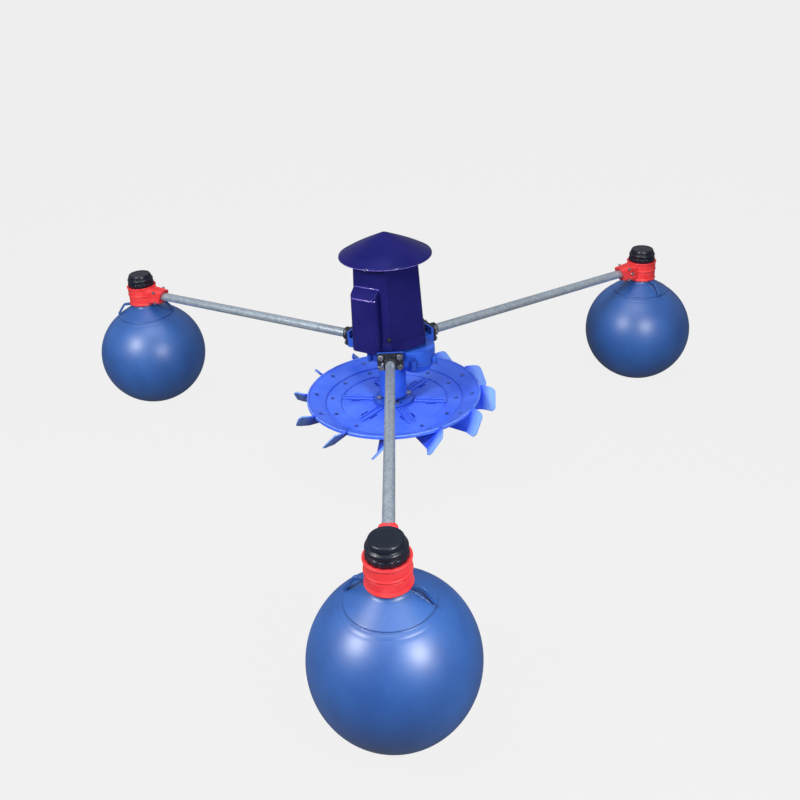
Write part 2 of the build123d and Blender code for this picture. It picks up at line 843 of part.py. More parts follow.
def make_impeller_hub():
    sleeve_low = floor_z - bowl_wall - 2
    hub = turned((0, hub_top), (hub_sleeve_radius, hub_top), (hub_sleeve_radius, hub_flange_top),
                 (hub_flange_radius, hub_flange_top), (hub_flange_radius, hub_flange_bottom),
                 (hub_sleeve_radius, hub_flange_bottom), (hub_sleeve_radius, sleeve_low), (0, sleeve_low))
    hub -= rod(shaft_end_radius, sleeve_low - 1, hub_top + 1)
    for hole in hub_bolt_shanks(hub_bolt_radius + bolt_hole_clearance):
        hub -= hole
    return hub


def make_hub_bolts():
    bolts = []
    for index, shank in enumerate(hub_bolt_shanks(hub_bolt_radius)):
        x, y = polar(hub_bolt_circle, hub_bolt_offset + 360 / hub_bolt_count * index)
        head = Pos(x, y, hub_flange_top) * extrude(RegularPolygon(1.85 * hub_bolt_radius, 6), 5.5)
        nut_low = floor_z - bowl_wall - 6
        nut = Pos(x, y, nut_low) * extrude(RegularPolygon(1.85 * hub_bolt_radius, 6), 6)
        bolts.append(head + shank + rod(hub_bolt_radius, nut_low, floor_z, x, y) + nut)
    return bundle(bolts)


def make_shaft_nut():
    top = floor_z - bowl_wall - 2
    hexagon = RegularPolygon(nut_flats / 2 / cos(radians(30)), 6)
    return Pos(0, 0, top - nut_height) * extrude(hexagon, nut_height) - rod(
        shaft_end_radius, top - nut_height - 1, top + 1)


# Arms

def make_tube_socket():
    half = socket_plate_width / 2
    high = socket_plate_height / 2
    plate = block((pad_end, plate_face), (-half, half), (-high, high))
    plate = fillet(plate.edges().filter_by(Axis.X), 8)
    socket = plate + along(socket_sleeve_radius, plate_face, plate_face + socket_sleeve_length)
    rib = block((plate_face, plate_face + socket_sleeve_length - 4), (-2.5, 2.5), (-high + 3, high - 3))
    socket += rib
    socket -= along(tube_radius + tube_fit, pad_end - 1, plate_face + socket_sleeve_length + 1)
    for side in (-socket_bolt_side, socket_bolt_side):
        for rise in (-socket_bolt_rise, socket_bolt_rise):
            hole = along(socket_bolt_radius + bolt_hole_clearance, pad_end - 1, plate_face + 1)
            socket -= Pos(0, side, rise) * hole
    place, seat = lock_bolt_places()[0]
    return socket - side_bar(lock_bolt_radius + bolt_hole_clearance, place, 0, seat + 1)


def make_socket_bolts():
    bolts = []
    for azimuth in arm_azimuths.values():
        for side in (-socket_bolt_side, socket_bolt_side):
            for rise in (-socket_bolt_rise, socket_bolt_rise):
                head = Rot(0, 90, 0) * extrude(RegularPolygon(1.75 * socket_bolt_radius, 6), 6)
                bolt = Pos(plate_face, 0, 0) * head + along(socket_bolt_radius, tube_start - 1, plate_face)
                bolts.append(turned_by(azimuth, Pos(0, side, rise) * bolt))
    return bundle(bolts)


def tube_end():
    return arm_reach - clamp_radius - tube_inset


def make_arm_tube():
    tube = along(tube_radius, tube_start, tube_end())
    return tube - along(tube_radius - tube_wall, tube_start - 1, tube_end() + 1)


def ear_half_width(reach):
    """Half the width of the clamp's ear at a distance from the neck axis."""
    root = neck_radius - 3
    share = (reach - root) / (clamp_radius + clamp_ear_length - root)
    return (clamp_ear_root_width + share * (clamp_ear_width - clamp_ear_root_width)) / 2


def lock_bolt_places():
    """Distance along the arm and seat of each bolt that pins the tube, at the socket and at the float."""
    return ((plate_face + socket_sleeve_length * 0.55, socket_sleeve_radius),
            (arm_reach - lock_bolt_reach, ear_half_width(lock_bolt_reach - lock_bolt_head)))


def side_bar(radius, place, near, far):
    """Round bar towards -Y at a distance along an arm."""
    bar = Cylinder(radius, far - near, align=(Align.CENTER, Align.CENTER, Align.MIN))
    return Pos(place, -near, 0) * Rot(90, 0, 0) * bar


def side_hexagon(size, height):
    """Bolt head that stands towards -Y."""
    return Rot(90, 0, 0) * extrude(RegularPolygon(size, 6), height)


def make_tube_lock_bolts():
    bolts = []
    for azimuth in arm_azimuths.values():
        for place, seat in lock_bolt_places():
            head = Pos(place, -seat, 0) * side_hexagon(lock_bolt_head, 4)
            bolts.append(turned_by(azimuth, side_bar(lock_bolt_radius, place, tube_radius, seat) + head))
    return bundle(bolts)


# Floats

def at_float(azimuth, shape):
    """Move a shape from the neck axis to the end of one arm; its +X still points outwards."""
    return turned_by(azimuth, Pos(arm_reach, 0, 0) * shape)


def make_float_ball():
    """Hollow ball below the seam, with a flat foot."""
    ball = Pos(0, 0, -float_drop) * Sphere(float_radius)
    ball += rod(foot_radius, floor_level, floor_level + 6)
    ball -= Pos(0, 0, -float_drop) * Sphere(float_radius - float_wall)
    return ball - rod(float_radius, seam_z, seam_z + float_radius)


def lug():
    """Arched rope eye moulded on the shoulder, along +X from the neck."""
    top = clamp_bottom_z - 1
    foot = seam_radius - 1
    outer = softened([(neck_radius - 2, top), (lug_bend, top), (lug_reach, top - lug_bend / 2), (foot, seam_z),
                      (neck_radius - 2, neck_base_z - 12)],
                     [(lug_bend, top, lug_corner), (lug_reach, top - lug_bend / 2, lug_corner / 3)])
    inner_top = top - lug_bar
    near = neck_radius + lug_bar
    far = lug_reach - lug_bar - 2
    inner = softened([(near, inner_top), (lug_bend - lug_bar / 2, inner_top), (far, top - lug_bend / 2),
                      (far, shoulder_z(far)), (near, shoulder_z(near) + shoulder_fillet / 8)],
                     [(lug_bend - lug_bar / 2, inner_top, lug_corner * 0.6), (near, inner_top, 2)])
    plate = extrude(Plane.XZ * outer, lug_thick / 2, both=True)
    return plate - extrude(Plane.XZ * inner, lug_thick, both=True)


def shoulder_z(radius):
    """Height of the shoulder's outer face at a radius."""
    share = (radius - neck_radius) / (seam_radius - neck_radius)
    return neck_base_z - 6 + share * (seam_z + 2 - (neck_base_z - 6))


def make_float_neck(lug_turn):
    wall = float_wall
    rise = neck_base_z - 6
    spigot_top = clamp_top_z + spigot_height
    body = turned_soft([(seam_radius - wall - 2, seam_z), (seam_radius, seam_z), (seam_radius, seam_z + 2),
                        (neck_radius, rise), (neck_radius, clamp_top_z), (spigot_radius, clamp_top_z),
                        (spigot_radius, spigot_top), (neck_bore, spigot_top), (neck_bore, rise - wall)],
                       [(neck_radius, rise, shoulder_fillet)])
    eyes = turned_by(lug_turn, lug()) + turned_by(lug_turn + 180, lug())
    inside = turned((0, seam_z - 5), (seam_radius - wall - 2, seam_z - 5), (seam_radius - wall - 2, seam_z),
                    (neck_bore, rise - wall), (0, rise - wall))
    body = body + (eyes - inside)
    body -= rod(neck_bore, rise - 10, spigot_top + 1)
    return body


def make_neck_clamp():
    """Band round the neck with the ear that pinches the tube; its -X side faces the hub."""
    low, high = clamp_bottom_z, clamp_top_z
    outer = clamp_radius
    lip = clamp_radius + clamp_lip
    rim = clamp_rim
    band = turned_soft([(neck_radius, low), (lip, low), (lip, low + rim), (outer, low + 3 * rim),
                        (outer, -2 * rim), (outer - 1, -2 * rim + 1), (outer - 1, -rim), (lip - 0.5, -1),
                        (lip - 0.5, 1), (outer, rim), (outer, high - 2 * rim), (lip, high - rim), (lip, high),
                        (neck_radius, high)],
                       [(lip, low, 1), (lip, high, 1)])
    mouth_x = -clamp_radius - clamp_ear_length
    tall = clamp_ear_height / 2
    root = Plane((-neck_radius + 3, 0, (high + low) / 2), x_dir=(0, 1, 0), z_dir=(-1, 0, 0))
    mouth = Plane((mouth_x, 0, 0), x_dir=(0, 1, 0), z_dir=(-1, 0, 0))
    ear = loft([root * RectangleRounded(clamp_ear_root_width, high - low - 2 * rim, clamp_ear_corner),
                mouth * RectangleRounded(clamp_ear_width, clamp_ear_height, clamp_ear_corner)])
    slant = Polyline((mouth_x, tall), (mouth_x + clamp_ear_slant, -tall - rim), (mouth_x - 1, -tall - rim),
                     (mouth_x - 1, tall), close=True)
    ear -= extrude(Plane.XZ * make_face(slant), clamp_ear_width, both=True)
    clamp = band + (ear - rod(neck_radius, low - 1, high + 1))
    tube_stop = -clamp_radius - tube_inset
    clamp -= along(tube_radius + tube_fit, mouth_x - 1, tube_stop)
    clamp -= block((mouth_x - 1, tube_stop), (-clamp_slit / 2, clamp_slit / 2), (low, high))
    for rise in (-clamp_bolt_rise, clamp_bolt_rise):
        clamp -= Pos(-clamp_bolt_reach, 0, rise) * Rot(90, 0, 0) * Cylinder(
            clamp_bolt_radius + bolt_hole_clearance, 2 * clamp_ear_root_width)
    return clamp - side_bar(lock_bolt_radius + bolt_hole_clearance, -lock_bolt_reach, 0, clamp_ear_root_width)


def make_clamp_bolts():
    """Two bolts across each ear, above and below the tube, that close its slit."""
    half = ear_half_width(clamp_bolt_reach - clamp_bolt_head)
    bolt = Rot(90, 0, 0) * Cylinder(clamp_bolt_radius, 2 * half)
    bolt += Pos(0, -half, 0) * side_hexagon(clamp_bolt_head, 4)
    bolt += Rot(0, 0, 180) * Pos(0, -half, 0) * side_hexagon(clamp_bolt_head, 4)
    bolts = []
    for azimuth in arm_azimuths.values():
        for rise in (-clamp_bolt_rise, clamp_bolt_rise):
            bolts.append(at_float(azimuth, Pos(-clamp_bolt_reach, 0, rise) * bolt))
    return bundle(bolts)


def make_float_cap():
    """Screw cap: a scalloped skirt, a bulging band and a crowned disc, with a groove between each two."""
    low = clamp_top_z + cap_gap
    high = low + cap_height
    bore = spigot_radius + cap_clearance
    roof = clamp_top_z + spigot_height + seal_disc_thick
    step = (cap_radius - cap_top_radius) / 3
    skirt_top, band_low, band_high = low + 0.3 * cap_height, low + 0.38 * cap_height, low + 0.64 * cap_height
    disc_low = low + 0.74 * cap_height
    groove = cap_radius - 1.5 * step
    disc = cap_radius - 2 * step
    cap = turned_soft([(bore, low), (cap_radius, low), (cap_radius, skirt_top), (groove, skirt_top + 1),
                       (groove, band_low - 1), (cap_radius - 0.4 * step, band_low),
                       (cap_radius - step, band_high), (disc - step, band_high + 2), (disc - step, disc_low - 1),
                       (disc, disc_low), (cap_top_radius, high), (0, high + 1), (0, roof), (bore, roof)],
                      [(cap_radius, skirt_top, 1.5), (cap_radius - 0.4 * step, band_low, 1.5),
                       (cap_radius - step, band_high, 2), (disc, disc_low, 1), (cap_top_radius, high, 3)])
    grip = rod(cap_grip_radius, low - 1, skirt_top, cap_radius + cap_grip_radius - cap_grip_depth)
    for index in range(cap_grips):
        cap -= turned_by(360 / cap_grips * index, grip)
    return cap


def make_cap_seal():
    low = clamp_top_z + spigot_height
    return rod(spigot_radius - 1, low, low + seal_disc_thick)


os.makedirs("parts", exist_ok=True)

def build_nodes():
    nodes = {
        "cover_roof": make_cover_roof(),
        "roof_posts": make_roof_posts(),
        "motor_cover": make_motor_cover(),
        "cover_screws": make_cover_screws(),
        "terminal_box": make_terminal_box(),
        "cable_gland": make_cable_gland(),
        "motor_frame": make_motor_frame(),
        "motor_lower_bell": make_lower_bell(),
        "motor_upper_bell": make_upper_bell(),
        "motor_bearings": make_motor_bearings(),
        "stator_core": make_stator(),
        "rotor_core": make_rotor_core(),
        "rotor_shaft": make_rotor_shaft(),
        "cooling_fan": make_cooling_fan(),
        "motor_pinion": make_motor_pinion(),
        "layshaft": make_layshaft(),
        "layshaft_gear": make_layshaft_gear(),
        "layshaft_pinion": make_layshaft_pinion(),
        "layshaft_bearings": make_layshaft_bearings(),
        "output_gear": make_output_gear(),
        "output_shaft": make_output_shaft(),
        "shaft_key": make_shaft_key(),
        "output_bearings": make_output_bearings(),
        "oil_seal": make_oil_seal(),
        "gear_case": make_gear_case(),
        "case_gasket": make_case_gasket(),
        "column_housing": make_column_housing(),
        "case_bolts": make_case_bolts(),
        "impeller_hub": make_impeller_hub(),
        "hub_bolts": make_hub_bolts(),
        "shaft_nut": make_shaft_nut(),
        "impeller_bowl": make_impeller_bowl(),
        "impeller_blades": make_impeller_blades(),
        "blade_screws": make_blade_screws(),
        "socket_bolts": make_socket_bolts(),
        "tube_lock_bolts": make_tube_lock_bolts(),
        "clamp_bolts": make_clamp_bolts(),
    }
    for side, azimuth in arm_azimuths.items():
        nodes["tube_socket_" + side] = turned_by(azimuth, make_tube_socket())
        nodes["arm_tube_" + side] = turned_by(azimuth, make_arm_tube())
        nodes["neck_clamp_" + side] = at_float(azimuth, make_neck_clamp())
        nodes["float_ball_" + side] = at_float(azimuth, make_float_ball())
        nodes["float_neck_" + side] = at_float(azimuth, make_float_neck(lug_azimuths[side] - azimuth))
        nodes["cap_seal_" + side] = at_float(azimuth, make_cap_seal())
        nodes["float_cap_" + side] = at_float(azimuth, make_float_cap())
    return nodes


for name, shape in build_nodes().items():
    export_step(placing * shape, "parts/" + name + ".step")
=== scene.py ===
import json
import math
import bmesh
import bpy
from mathutils import Matrix, Vector


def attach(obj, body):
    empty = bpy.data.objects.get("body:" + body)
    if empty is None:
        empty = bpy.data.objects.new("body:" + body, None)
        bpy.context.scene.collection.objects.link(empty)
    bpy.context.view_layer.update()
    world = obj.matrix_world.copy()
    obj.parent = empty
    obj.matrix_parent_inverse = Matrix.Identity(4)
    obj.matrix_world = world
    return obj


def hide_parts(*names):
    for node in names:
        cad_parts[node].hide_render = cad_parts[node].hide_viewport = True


# Solar pond aerator: a geared motor under a navy hood, on three blue ball floats, turns a bladed dish.
# Metres. The hub axis is upright, and the arm tubes lie in one level plane.

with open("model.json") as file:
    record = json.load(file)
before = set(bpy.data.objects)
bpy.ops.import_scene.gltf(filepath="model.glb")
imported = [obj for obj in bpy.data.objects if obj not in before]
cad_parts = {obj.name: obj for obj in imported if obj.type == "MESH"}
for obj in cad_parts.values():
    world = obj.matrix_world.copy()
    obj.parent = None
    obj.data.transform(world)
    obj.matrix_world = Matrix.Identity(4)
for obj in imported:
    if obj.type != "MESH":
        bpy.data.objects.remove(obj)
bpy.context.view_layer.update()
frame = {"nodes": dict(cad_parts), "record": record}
nodes = frame["nodes"]

# Layout, from the frame
SIDES = ("front", "right", "left")
ARM_AZIMUTH = {"front": -90.0, "right": 30.0, "left": 150.0}
ARM_REACH = 0.978
HUB = Vector((0.0, ARM_REACH / 4, 0.4))
MILLIMETRE = 0.001

# Sizes that the modelled pieces share with the frame, in millimetres from the hub's tube level
BALL_RADIUS = 174.9
BALL_DROP = 225.0
BALL_WALL = 4.0
BALL_FOOT = 29.0
BALL_COLUMNS = 112
SEAM_RADIUS = 90.0
# Fine mould lines below the seam, each as its drop and depth, and a line's section as offsets and
# shares of its depth
MOULD_LINES = ((1.0, 0.6), (7.0, 0.3))
LINE_SECTION = ((-1.2, 0.0), (-0.4, 1.0), (0.4, 1.0), (1.2, 0.0))
CAP_LOW = 29.0
CAP_HEIGHT = 40.0
CAP_RADIUS = 42.3
CAP_TOP_RADIUS = 35.0
CAP_BORE = 34.3
CAP_ROOF = 60.3
CAP_GRIPS = 16
GRIP_COLUMNS = 6
# Columns of a grip that are drawn inwards, each with the share of its reach that stays
GRIP_SHARES = ((0, 0.958), (1, 0.972), (GRIP_COLUMNS - 1, 0.972))
ROOF_RADIUS = 129.0
ROOF_RIM_Z = 270.0
ROOF_APEX_Z = 333.0
ROOF_WALL = 3.0
ROOF_DOME = 0.1
ROOF_COLUMNS = 144
ROOF_BEAD = 3.4
ROOF_BEAD_DROP = 1.6
ROLL_RADIUS = 1.8
ROLL_DROP = 3.6
CROWN_RADIUS = 9.0
BULGE_AZIMUTH = -120.0
CREASE_BEAD = 2.0
RIB_PAIRS = 6
RIB_OFFSET = -10.0
RIB_ASIDE = 8.0
RIB_HEIGHT = -187.4
RIB_RADIUS = 2.6
# Reach and drop of the points along a rib
RIB_LINE = ((60.0, 2.4), (64.0, 0.4), (100.0, 0.0), (140.0, 0.0), (150.0, 2.4))
RIM_RADIUS = 257.0
RIM_OVERLAP = 2.4
# Two slopes of the bowl's lower face, each a point and its rise per millimetre outwards
UNDER_SLOPES = ((253.0, -170.2, 0.361), (204.0, -190.6, 0.19))
PADDLE_COUNT = 12
PADDLE_OFFSET = -5.0
PADDLE_PITCH = 42.0
PADDLE_ROOT = 176.0
PADDLE_TIP = 300.0
PADDLE_TOP = -158.0
PADDLE_LOW = -212.0
PADDLE_CORNER = 15.0
PADDLE_WALL = 4.2
PADDLE_EDGE = 1.3
PADDLE_BENDS = (262.0, 270.0, 278.0, 286.0)
BEND_SHIFT = 3.2
FOOT_LINE = ((176.0, -193.4), (202.0, -191.2), (207.0, -188.6), (249.0, -173.4))
FOOT_WIDTH = 26.0
FOOT_WALL = 3.6
FOOT_EDGE = 0.9

# Camera, at the photograph's viewing angle
CAMERA_TARGET = Vector((0.0479, 0.0, -0.0058))
CAMERA_DISTANCE = 2.4906
CAMERA_ELEVATION = 25.42
CAMERA_AZIMUTH = 0.59
CAMERA_ROLL = 3.066
CAMERA_LENS = 38.83
CAMERA_SHIFT = (-0.00905, -0.0718)


# Shader maths

class Wire:
    """Output of a shader node that takes part in sums as a number does."""

    def __init__(self, finish, socket):
        self.finish = finish
        self.socket = socket

    def sum(self, operation, *values, clamp=False):
        settings = {"operation": operation, "use_clamp": clamp}
        return self.finish.node("ShaderNodeMath", settings, dict(enumerate(values)))

    def __add__(self, other):
        return self.sum("ADD", self, other)

    def __sub__(self, other):
        return self.sum("SUBTRACT", self, other)

    def __rsub__(self, other):
        return self.sum("SUBTRACT", other, self)

    def __mul__(self, other):
        return self.sum("MULTIPLY", self, other)

    def __truediv__(self, other):
        return self.sum("DIVIDE", self, other)

    __radd__ = __add__
    __rmul__ = __mul__

    def above(self, threshold, softness):
        """0 below the threshold, 1 above it, with a soft step between."""
        return self.sum("ADD", (self - threshold) / softness, 0.5, clamp=True)

    def held(self):
        """The value kept between 0 and 1."""
        return self.sum("ADD", self, 0.0, clamp=True)


class Finish:
    """One procedural material, built round a Principled shader."""

    def __init__(self, name, roughness, metallic=0.0, coat=0.0, specular=0.5):
        self.material = bpy.data.materials.new(name)
        self.material.use_nodes = True
        self.tree = self.material.node_tree
        self.shader = self.tree.nodes["Principled BSDF"]
        self.shader.inputs["Roughness"].default_value = roughness
        self.shader.inputs["Metallic"].default_value = metallic
        self.shader.inputs["Coat Weight"].default_value = coat
        self.shader.inputs["Specular IOR Level"].default_value = specular
        self.place = self.node("ShaderNodeTexCoord", {}, {}, "Object")

    def node(self, kind, settings, sockets, output=0):
        """Adds a node, sets it up, feeds its sockets with values or wires, and gives an output."""
        made = self.tree.nodes.new(kind)
        for name, value in settings.items():
            setattr(made, name, value)
        for key, value in sockets.items():
            self.feed(made.inputs[key], value)
        return Wire(self, made.outputs[output])

    def feed(self, socket, value):
        if isinstance(value, Wire):
            self.tree.links.new(value.socket, socket)
        else:
            socket.default_value = value

    def stretched(self, scale, turn=(0.0, 0.0, 0.0)):
        """Object coordinates scaled and turned, for a pattern with a direction."""
        turns = tuple(math.radians(angle) for angle in turn)
        settings = {"vector_type": "POINT"}
        sockets = {"Vector": self.place, "Rotation": turns, "Scale": scale}
        return self.node("ShaderNodeMapping", settings, sockets)

    def noise(self, scale, detail=3.0, roughness=0.5, place=None, distortion=0.0):
        sockets = {"Vector": place or self.place, "Scale": scale, "Detail": detail,
                   "Roughness": roughness, "Distortion": distortion}
        return self.node("ShaderNodeTexNoise", {}, sockets, "Fac")

    def cells(self, scale, output="Distance", place=None):
        sockets = {"Vector": place or self.place, "Scale": scale}
        return self.node("ShaderNodeTexVoronoi", {}, sockets, output)

    def part_of(self, vector, axis):
        """One of the three numbers in a vector."""
        return self.node("ShaderNodeSeparateXYZ", {}, {"Vector": vector}, axis)

    def mixed(self, first, second, factor):
        settings = {"data_type": "RGBA"}
        return self.node("ShaderNodeMix", settings, {0: factor, 6: first, 7: second}, 2)

    def bump(self, height, strength, distance, normal=None):
        sockets = {"Height": height, "Strength": strength, "Distance": distance}
        if normal is not None:
            sockets["Normal"] = normal
        return self.node("ShaderNodeBump", {}, sockets)

    def creases(self, reach):
        """Painted shade: near 1 in corners and grooves up to this many metres deep, 0 on open faces."""
        open_share = self.node("ShaderNodeAmbientOcclusion", {"samples": 6}, {"Distance": reach}, "AO")
        return (1 - open_share).above(0.42, 0.7)

    def soft_edges(self, radius):
        """Normals rounded over the edges, as on a moulding or a casting."""
        return self.node("ShaderNodeBevel", {"samples": 6}, {"Radius": radius})

    def set(self, **values):
        """Feeds the shader's own sockets, named with underscores for spaces."""
        for name, value in values.items():
            self.feed(self.shader.inputs[name.replace("_", " ")], value)


def paint(red, green, blue):
    """A display colour, 0 to 255, as the linear colour that a shader takes."""
    shares = (red / 255, green / 255, blue / 255)
    linear = [s / 12.92 if s <= 0.04045 else ((s + 0.055) / 1.055) ** 2.4 for s in shares]
    return (*linear, 1.0)


def hood_plastic():
    """Navy moulding, a little uneven in tone, with a faint ripple, dust in its pores and painted shade
    in its creases.
    """
    finish = Finish("hood_plastic", 0.3, coat=0.22, specular=0.05)
    finish.set(Coat_Roughness=0.14)
    cloud = finish.noise(9.0, 4.0)
    tone = finish.mixed(paint(21, 22, 90), paint(31, 30, 103), cloud.above(0.5, 0.35))
    dust = finish.noise(60.0, 6.0, 0.7)
    dusty = finish.mixed(tone, paint(60, 58, 122), dust.above(0.7, 0.2) * 0.25)
    # Painted shade: a dark navy in corners and grooves.
    finish.set(Base_Color=finish.mixed(dusty, paint(10, 10, 54), finish.creases(0.012)))
    finish.set(Roughness=0.3 + dust * 0.14)
    ripple = finish.noise(240.0, 2.0) + finish.noise(26.0, 2.0) * 2
    finish.set(Normal=finish.bump(ripple, 0.06, 0.0006, finish.soft_edges(0.004)))
    return finish.material


def hood_edge_painted_highlight():
    """Painted highlight: the hood's moulding on its edges, in a lighter blue that stands for a shine,
    glossier, and mottled with wear.
    """
    finish = Finish("hood_edge_painted_highlight", 0.22, coat=0.6, specular=0.5)
    wear = finish.noise(70.0, 5.0, 0.65)
    # Painted highlight: both blues are far lighter than the hood's own colour.
    finish.set(Base_Color=finish.mixed(paint(66, 56, 150), paint(124, 108, 206), wear.above(0.48, 0.3)))
    finish.set(Roughness=0.16 + wear * 0.14)
    finish.set(Normal=finish.bump(wear, 0.08, 0.0004))
    return finish.material


def bowl_edge_painted_highlight():
    """The bowl's nylon along its raised edges, a little paler: a painted highlight."""
    finish = Finish("bowl_edge_painted_highlight", 0.26, coat=0.3, specular=0.3)
    wear = finish.noise(70.0, 5.0, 0.65)
    # Painted highlight: both blues are paler than the bowl's own colour.
    finish.set(Base_Color=finish.mixed(paint(84, 124, 250), paint(122, 158, 255), wear.above(0.48, 0.3)))
    finish.set(Roughness=0.2 + wear * 0.14)
    finish.set(Normal=finish.bump(wear, 0.08, 0.0004))
    return finish.material


def cap_black():
    """Satin black plastic with fine grain and grey rubbed spots."""
    finish = Finish("cap_black", 0.3, specular=0.5)
    rub = finish.noise(70.0, 5.0, 0.65)
    rubbed = rub.above(0.7, 0.12) * 0.35
    finish.set(Base_Color=finish.mixed(paint(11, 19, 36), paint(52, 60, 74), rubbed))
    finish.set(Roughness=0.24 + rub * 0.2)
    finish.set(Normal=finish.bump(finish.noise(900.0, 2.0), 0.12, 0.0003, finish.soft_edges(0.0015)))
    return finish.material


def socket_black():
    """Black paint on rough cast iron, thin along the edges."""
    finish = Finish("socket_black", 0.5)
    grain = finish.noise(420.0, 4.0, 0.6)
    wear = finish.noise(55.0, 6.0, 0.7)
    worn = wear.above(0.64, 0.1) * 0.6
    finish.set(Base_Color=finish.mixed(paint(30, 33, 46), paint(86, 90, 104), worn))
    finish.set(Roughness=0.4 + grain * 0.25)
    finish.set(Normal=finish.bump(grain, 0.25, 0.0006, finish.soft_edges(0.0015)))
    return finish.material


def case_blue():
    """Blue enamel over a sand casting, with painted shade in its corners and grooves."""
    finish = Finish("case_blue", 0.35, coat=0.15, specular=0.3)
    grain = finish.noise(330.0, 4.0, 0.55)
    cloud = finish.noise(24.0, 4.0)
    tone = finish.mixed(paint(43, 87, 202), paint(57, 105, 225), cloud.above(0.5, 0.4))
    # Painted shade: a dark blue in corners and grooves.
    finish.set(Base_Color=finish.mixed(tone, paint(14, 34, 110), finish.creases(0.012)))
    finish.set(Roughness=0.28 + grain * 0.22)
    finish.set(Normal=finish.bump(grain, 0.2, 0.0007, finish.soft_edges(0.002)))
    return finish.material


def clamp_red():
    """Bright red glass-filled plastic, paler where it is rubbed, with painted shade in its grooves."""
    finish = Finish("clamp_red", 0.4, specular=0.35)
    cloud = finish.noise(38.0, 4.0)
    tone = finish.mixed(paint(238, 52, 56), paint(250, 76, 78), cloud.above(0.5, 0.4))
    # Painted shade: a dark red in corners and grooves.
    finish.set(Base_Color=finish.mixed(tone, paint(150, 12, 20), finish.creases(0.006)))
    grain = finish.noise(650.0, 3.0)
    finish.set(Roughness=0.34 + grain * 0.16)
    finish.set(Normal=finish.bump(grain, 0.12, 0.0004, finish.soft_edges(0.002)))
    return finish.material


def float_plastic():
    """Satin blow-moulded blue, with scuffs, drips, a waxy bloom and painted shade in its grooves."""
    finish = Finish("float_plastic", 0.36, specular=1.0)
    cloud = finish.noise(6.0, 5.0, 0.55)
    streak = finish.noise(14.0, 4.0, 0.6, finish.stretched((1.0, 1.0, 0.18)))
    blend = (cloud * 0.6 + streak * 0.4).above(0.5, 0.3)
    tone = finish.mixed(paint(26, 76, 148), paint(39, 95, 172), blend)
    scratch = finish.noise(55.0, 3.0, 0.8, finish.stretched((1.0, 0.25, 1.6), (35.0, 20.0, 50.0)))
    speck = finish.cells(95.0)
    marks = scratch.above(0.7, 0.06) * 0.35 + (1 - speck.above(0.1, 0.06)) * cloud.above(0.56, 0.1) * 0.5
    scuffed = finish.mixed(tone, paint(96, 132, 190), marks.held() * 0.6)
    # Painted shade: a dark blue in corners and grooves.
    finish.set(Base_Color=finish.mixed(scuffed, paint(12, 34, 78), finish.creases(0.01) * 0.8))
    finish.set(Roughness=0.37 + cloud * 0.1 + marks * 0.2)
    skin = finish.noise(190.0, 3.0) + finish.noise(18.0, 2.0) * 3
    finish.set(Normal=finish.bump(skin, 0.06, 0.0008, finish.soft_edges(0.002)))
    return finish.material


def impeller_plastic():
    """Bright blue moulded nylon of the dish, with flow marks that run outwards and painted shade in its
    grooves.
    """
    finish = Finish("impeller_plastic", 0.34, coat=0.1, specular=0.2)
    cloud = finish.noise(11.0, 4.0)
    tone = finish.mixed(paint(62, 104, 242), paint(88, 130, 254), cloud.above(0.5, 0.4))
    mark = finish.noise(80.0, 5.0, 0.7)
    marked = finish.mixed(tone, paint(120, 150, 252), mark.above(0.7, 0.12) * 0.3)
    # Painted shade: a dark blue in corners and grooves.
    finish.set(Base_Color=finish.mixed(marked, paint(22, 44, 190), finish.creases(0.01)))
    finish.set(Roughness=0.28 + mark * 0.18)
    finish.set(Normal=finish.bump(finish.noise(300.0, 2.0), 0.06, 0.0005, finish.soft_edges(0.0015)))
    return finish.material


def blade_plastic():
    """The same nylon, painted paler towards the blade tips: painted light, for light that shines through
    them.
    """
    finish = Finish("blade_plastic", 0.32, specular=0.12)
    across = finish.node("ShaderNodeVectorMath", {"operation": "SUBTRACT"},
                         {0: finish.place, 1: (HUB.x, HUB.y, 0.0)})
    flat = finish.node("ShaderNodeVectorMath", {"operation": "MULTIPLY"},
                       {0: across, 1: (1.0, 1.0, 0.0)})
    radius = finish.node("ShaderNodeVectorMath", {"operation": "LENGTH"}, {0: flat}, "Value")
    # Painted light: past this radius the blades are painted paler, for light that shines through the
    # tips.
    tip = radius.above(0.272, 0.022)
    cloud = finish.noise(16.0, 4.0)
    root = finish.mixed(paint(38, 72, 222), paint(68, 106, 248), cloud.above(0.5, 0.4))
    finish.set(Base_Color=finish.mixed(root, paint(132, 174, 255), tip * 0.8))
    finish.set(Roughness=0.32 + cloud * 0.14)
    finish.set(Normal=finish.bump(finish.noise(300.0, 2.0), 0.03, 0.0003))
    return finish.material


def bright_metal(name, dark, light, roughness, scale):
    """Zinc or machined steel: clouded, finely scratched metal."""
    finish = Finish(name, roughness, metallic=1.0)
    cloud = finish.noise(scale, 5.0, 0.6)
    finish.set(Base_Color=finish.mixed(dark, light, cloud.above(0.5, 0.3)))
    lines = finish.noise(500.0, 3.0, 0.6, finish.stretched((1.0, 1.0, 6.0)))
    finish.set(Roughness=roughness + (cloud - 0.5) * 0.2 + (lines - 0.5) * 0.1)
    finish.set(Normal=finish.bump(lines, 0.08, 0.0003, finish.soft_edges(0.0008)))
    return finish.material


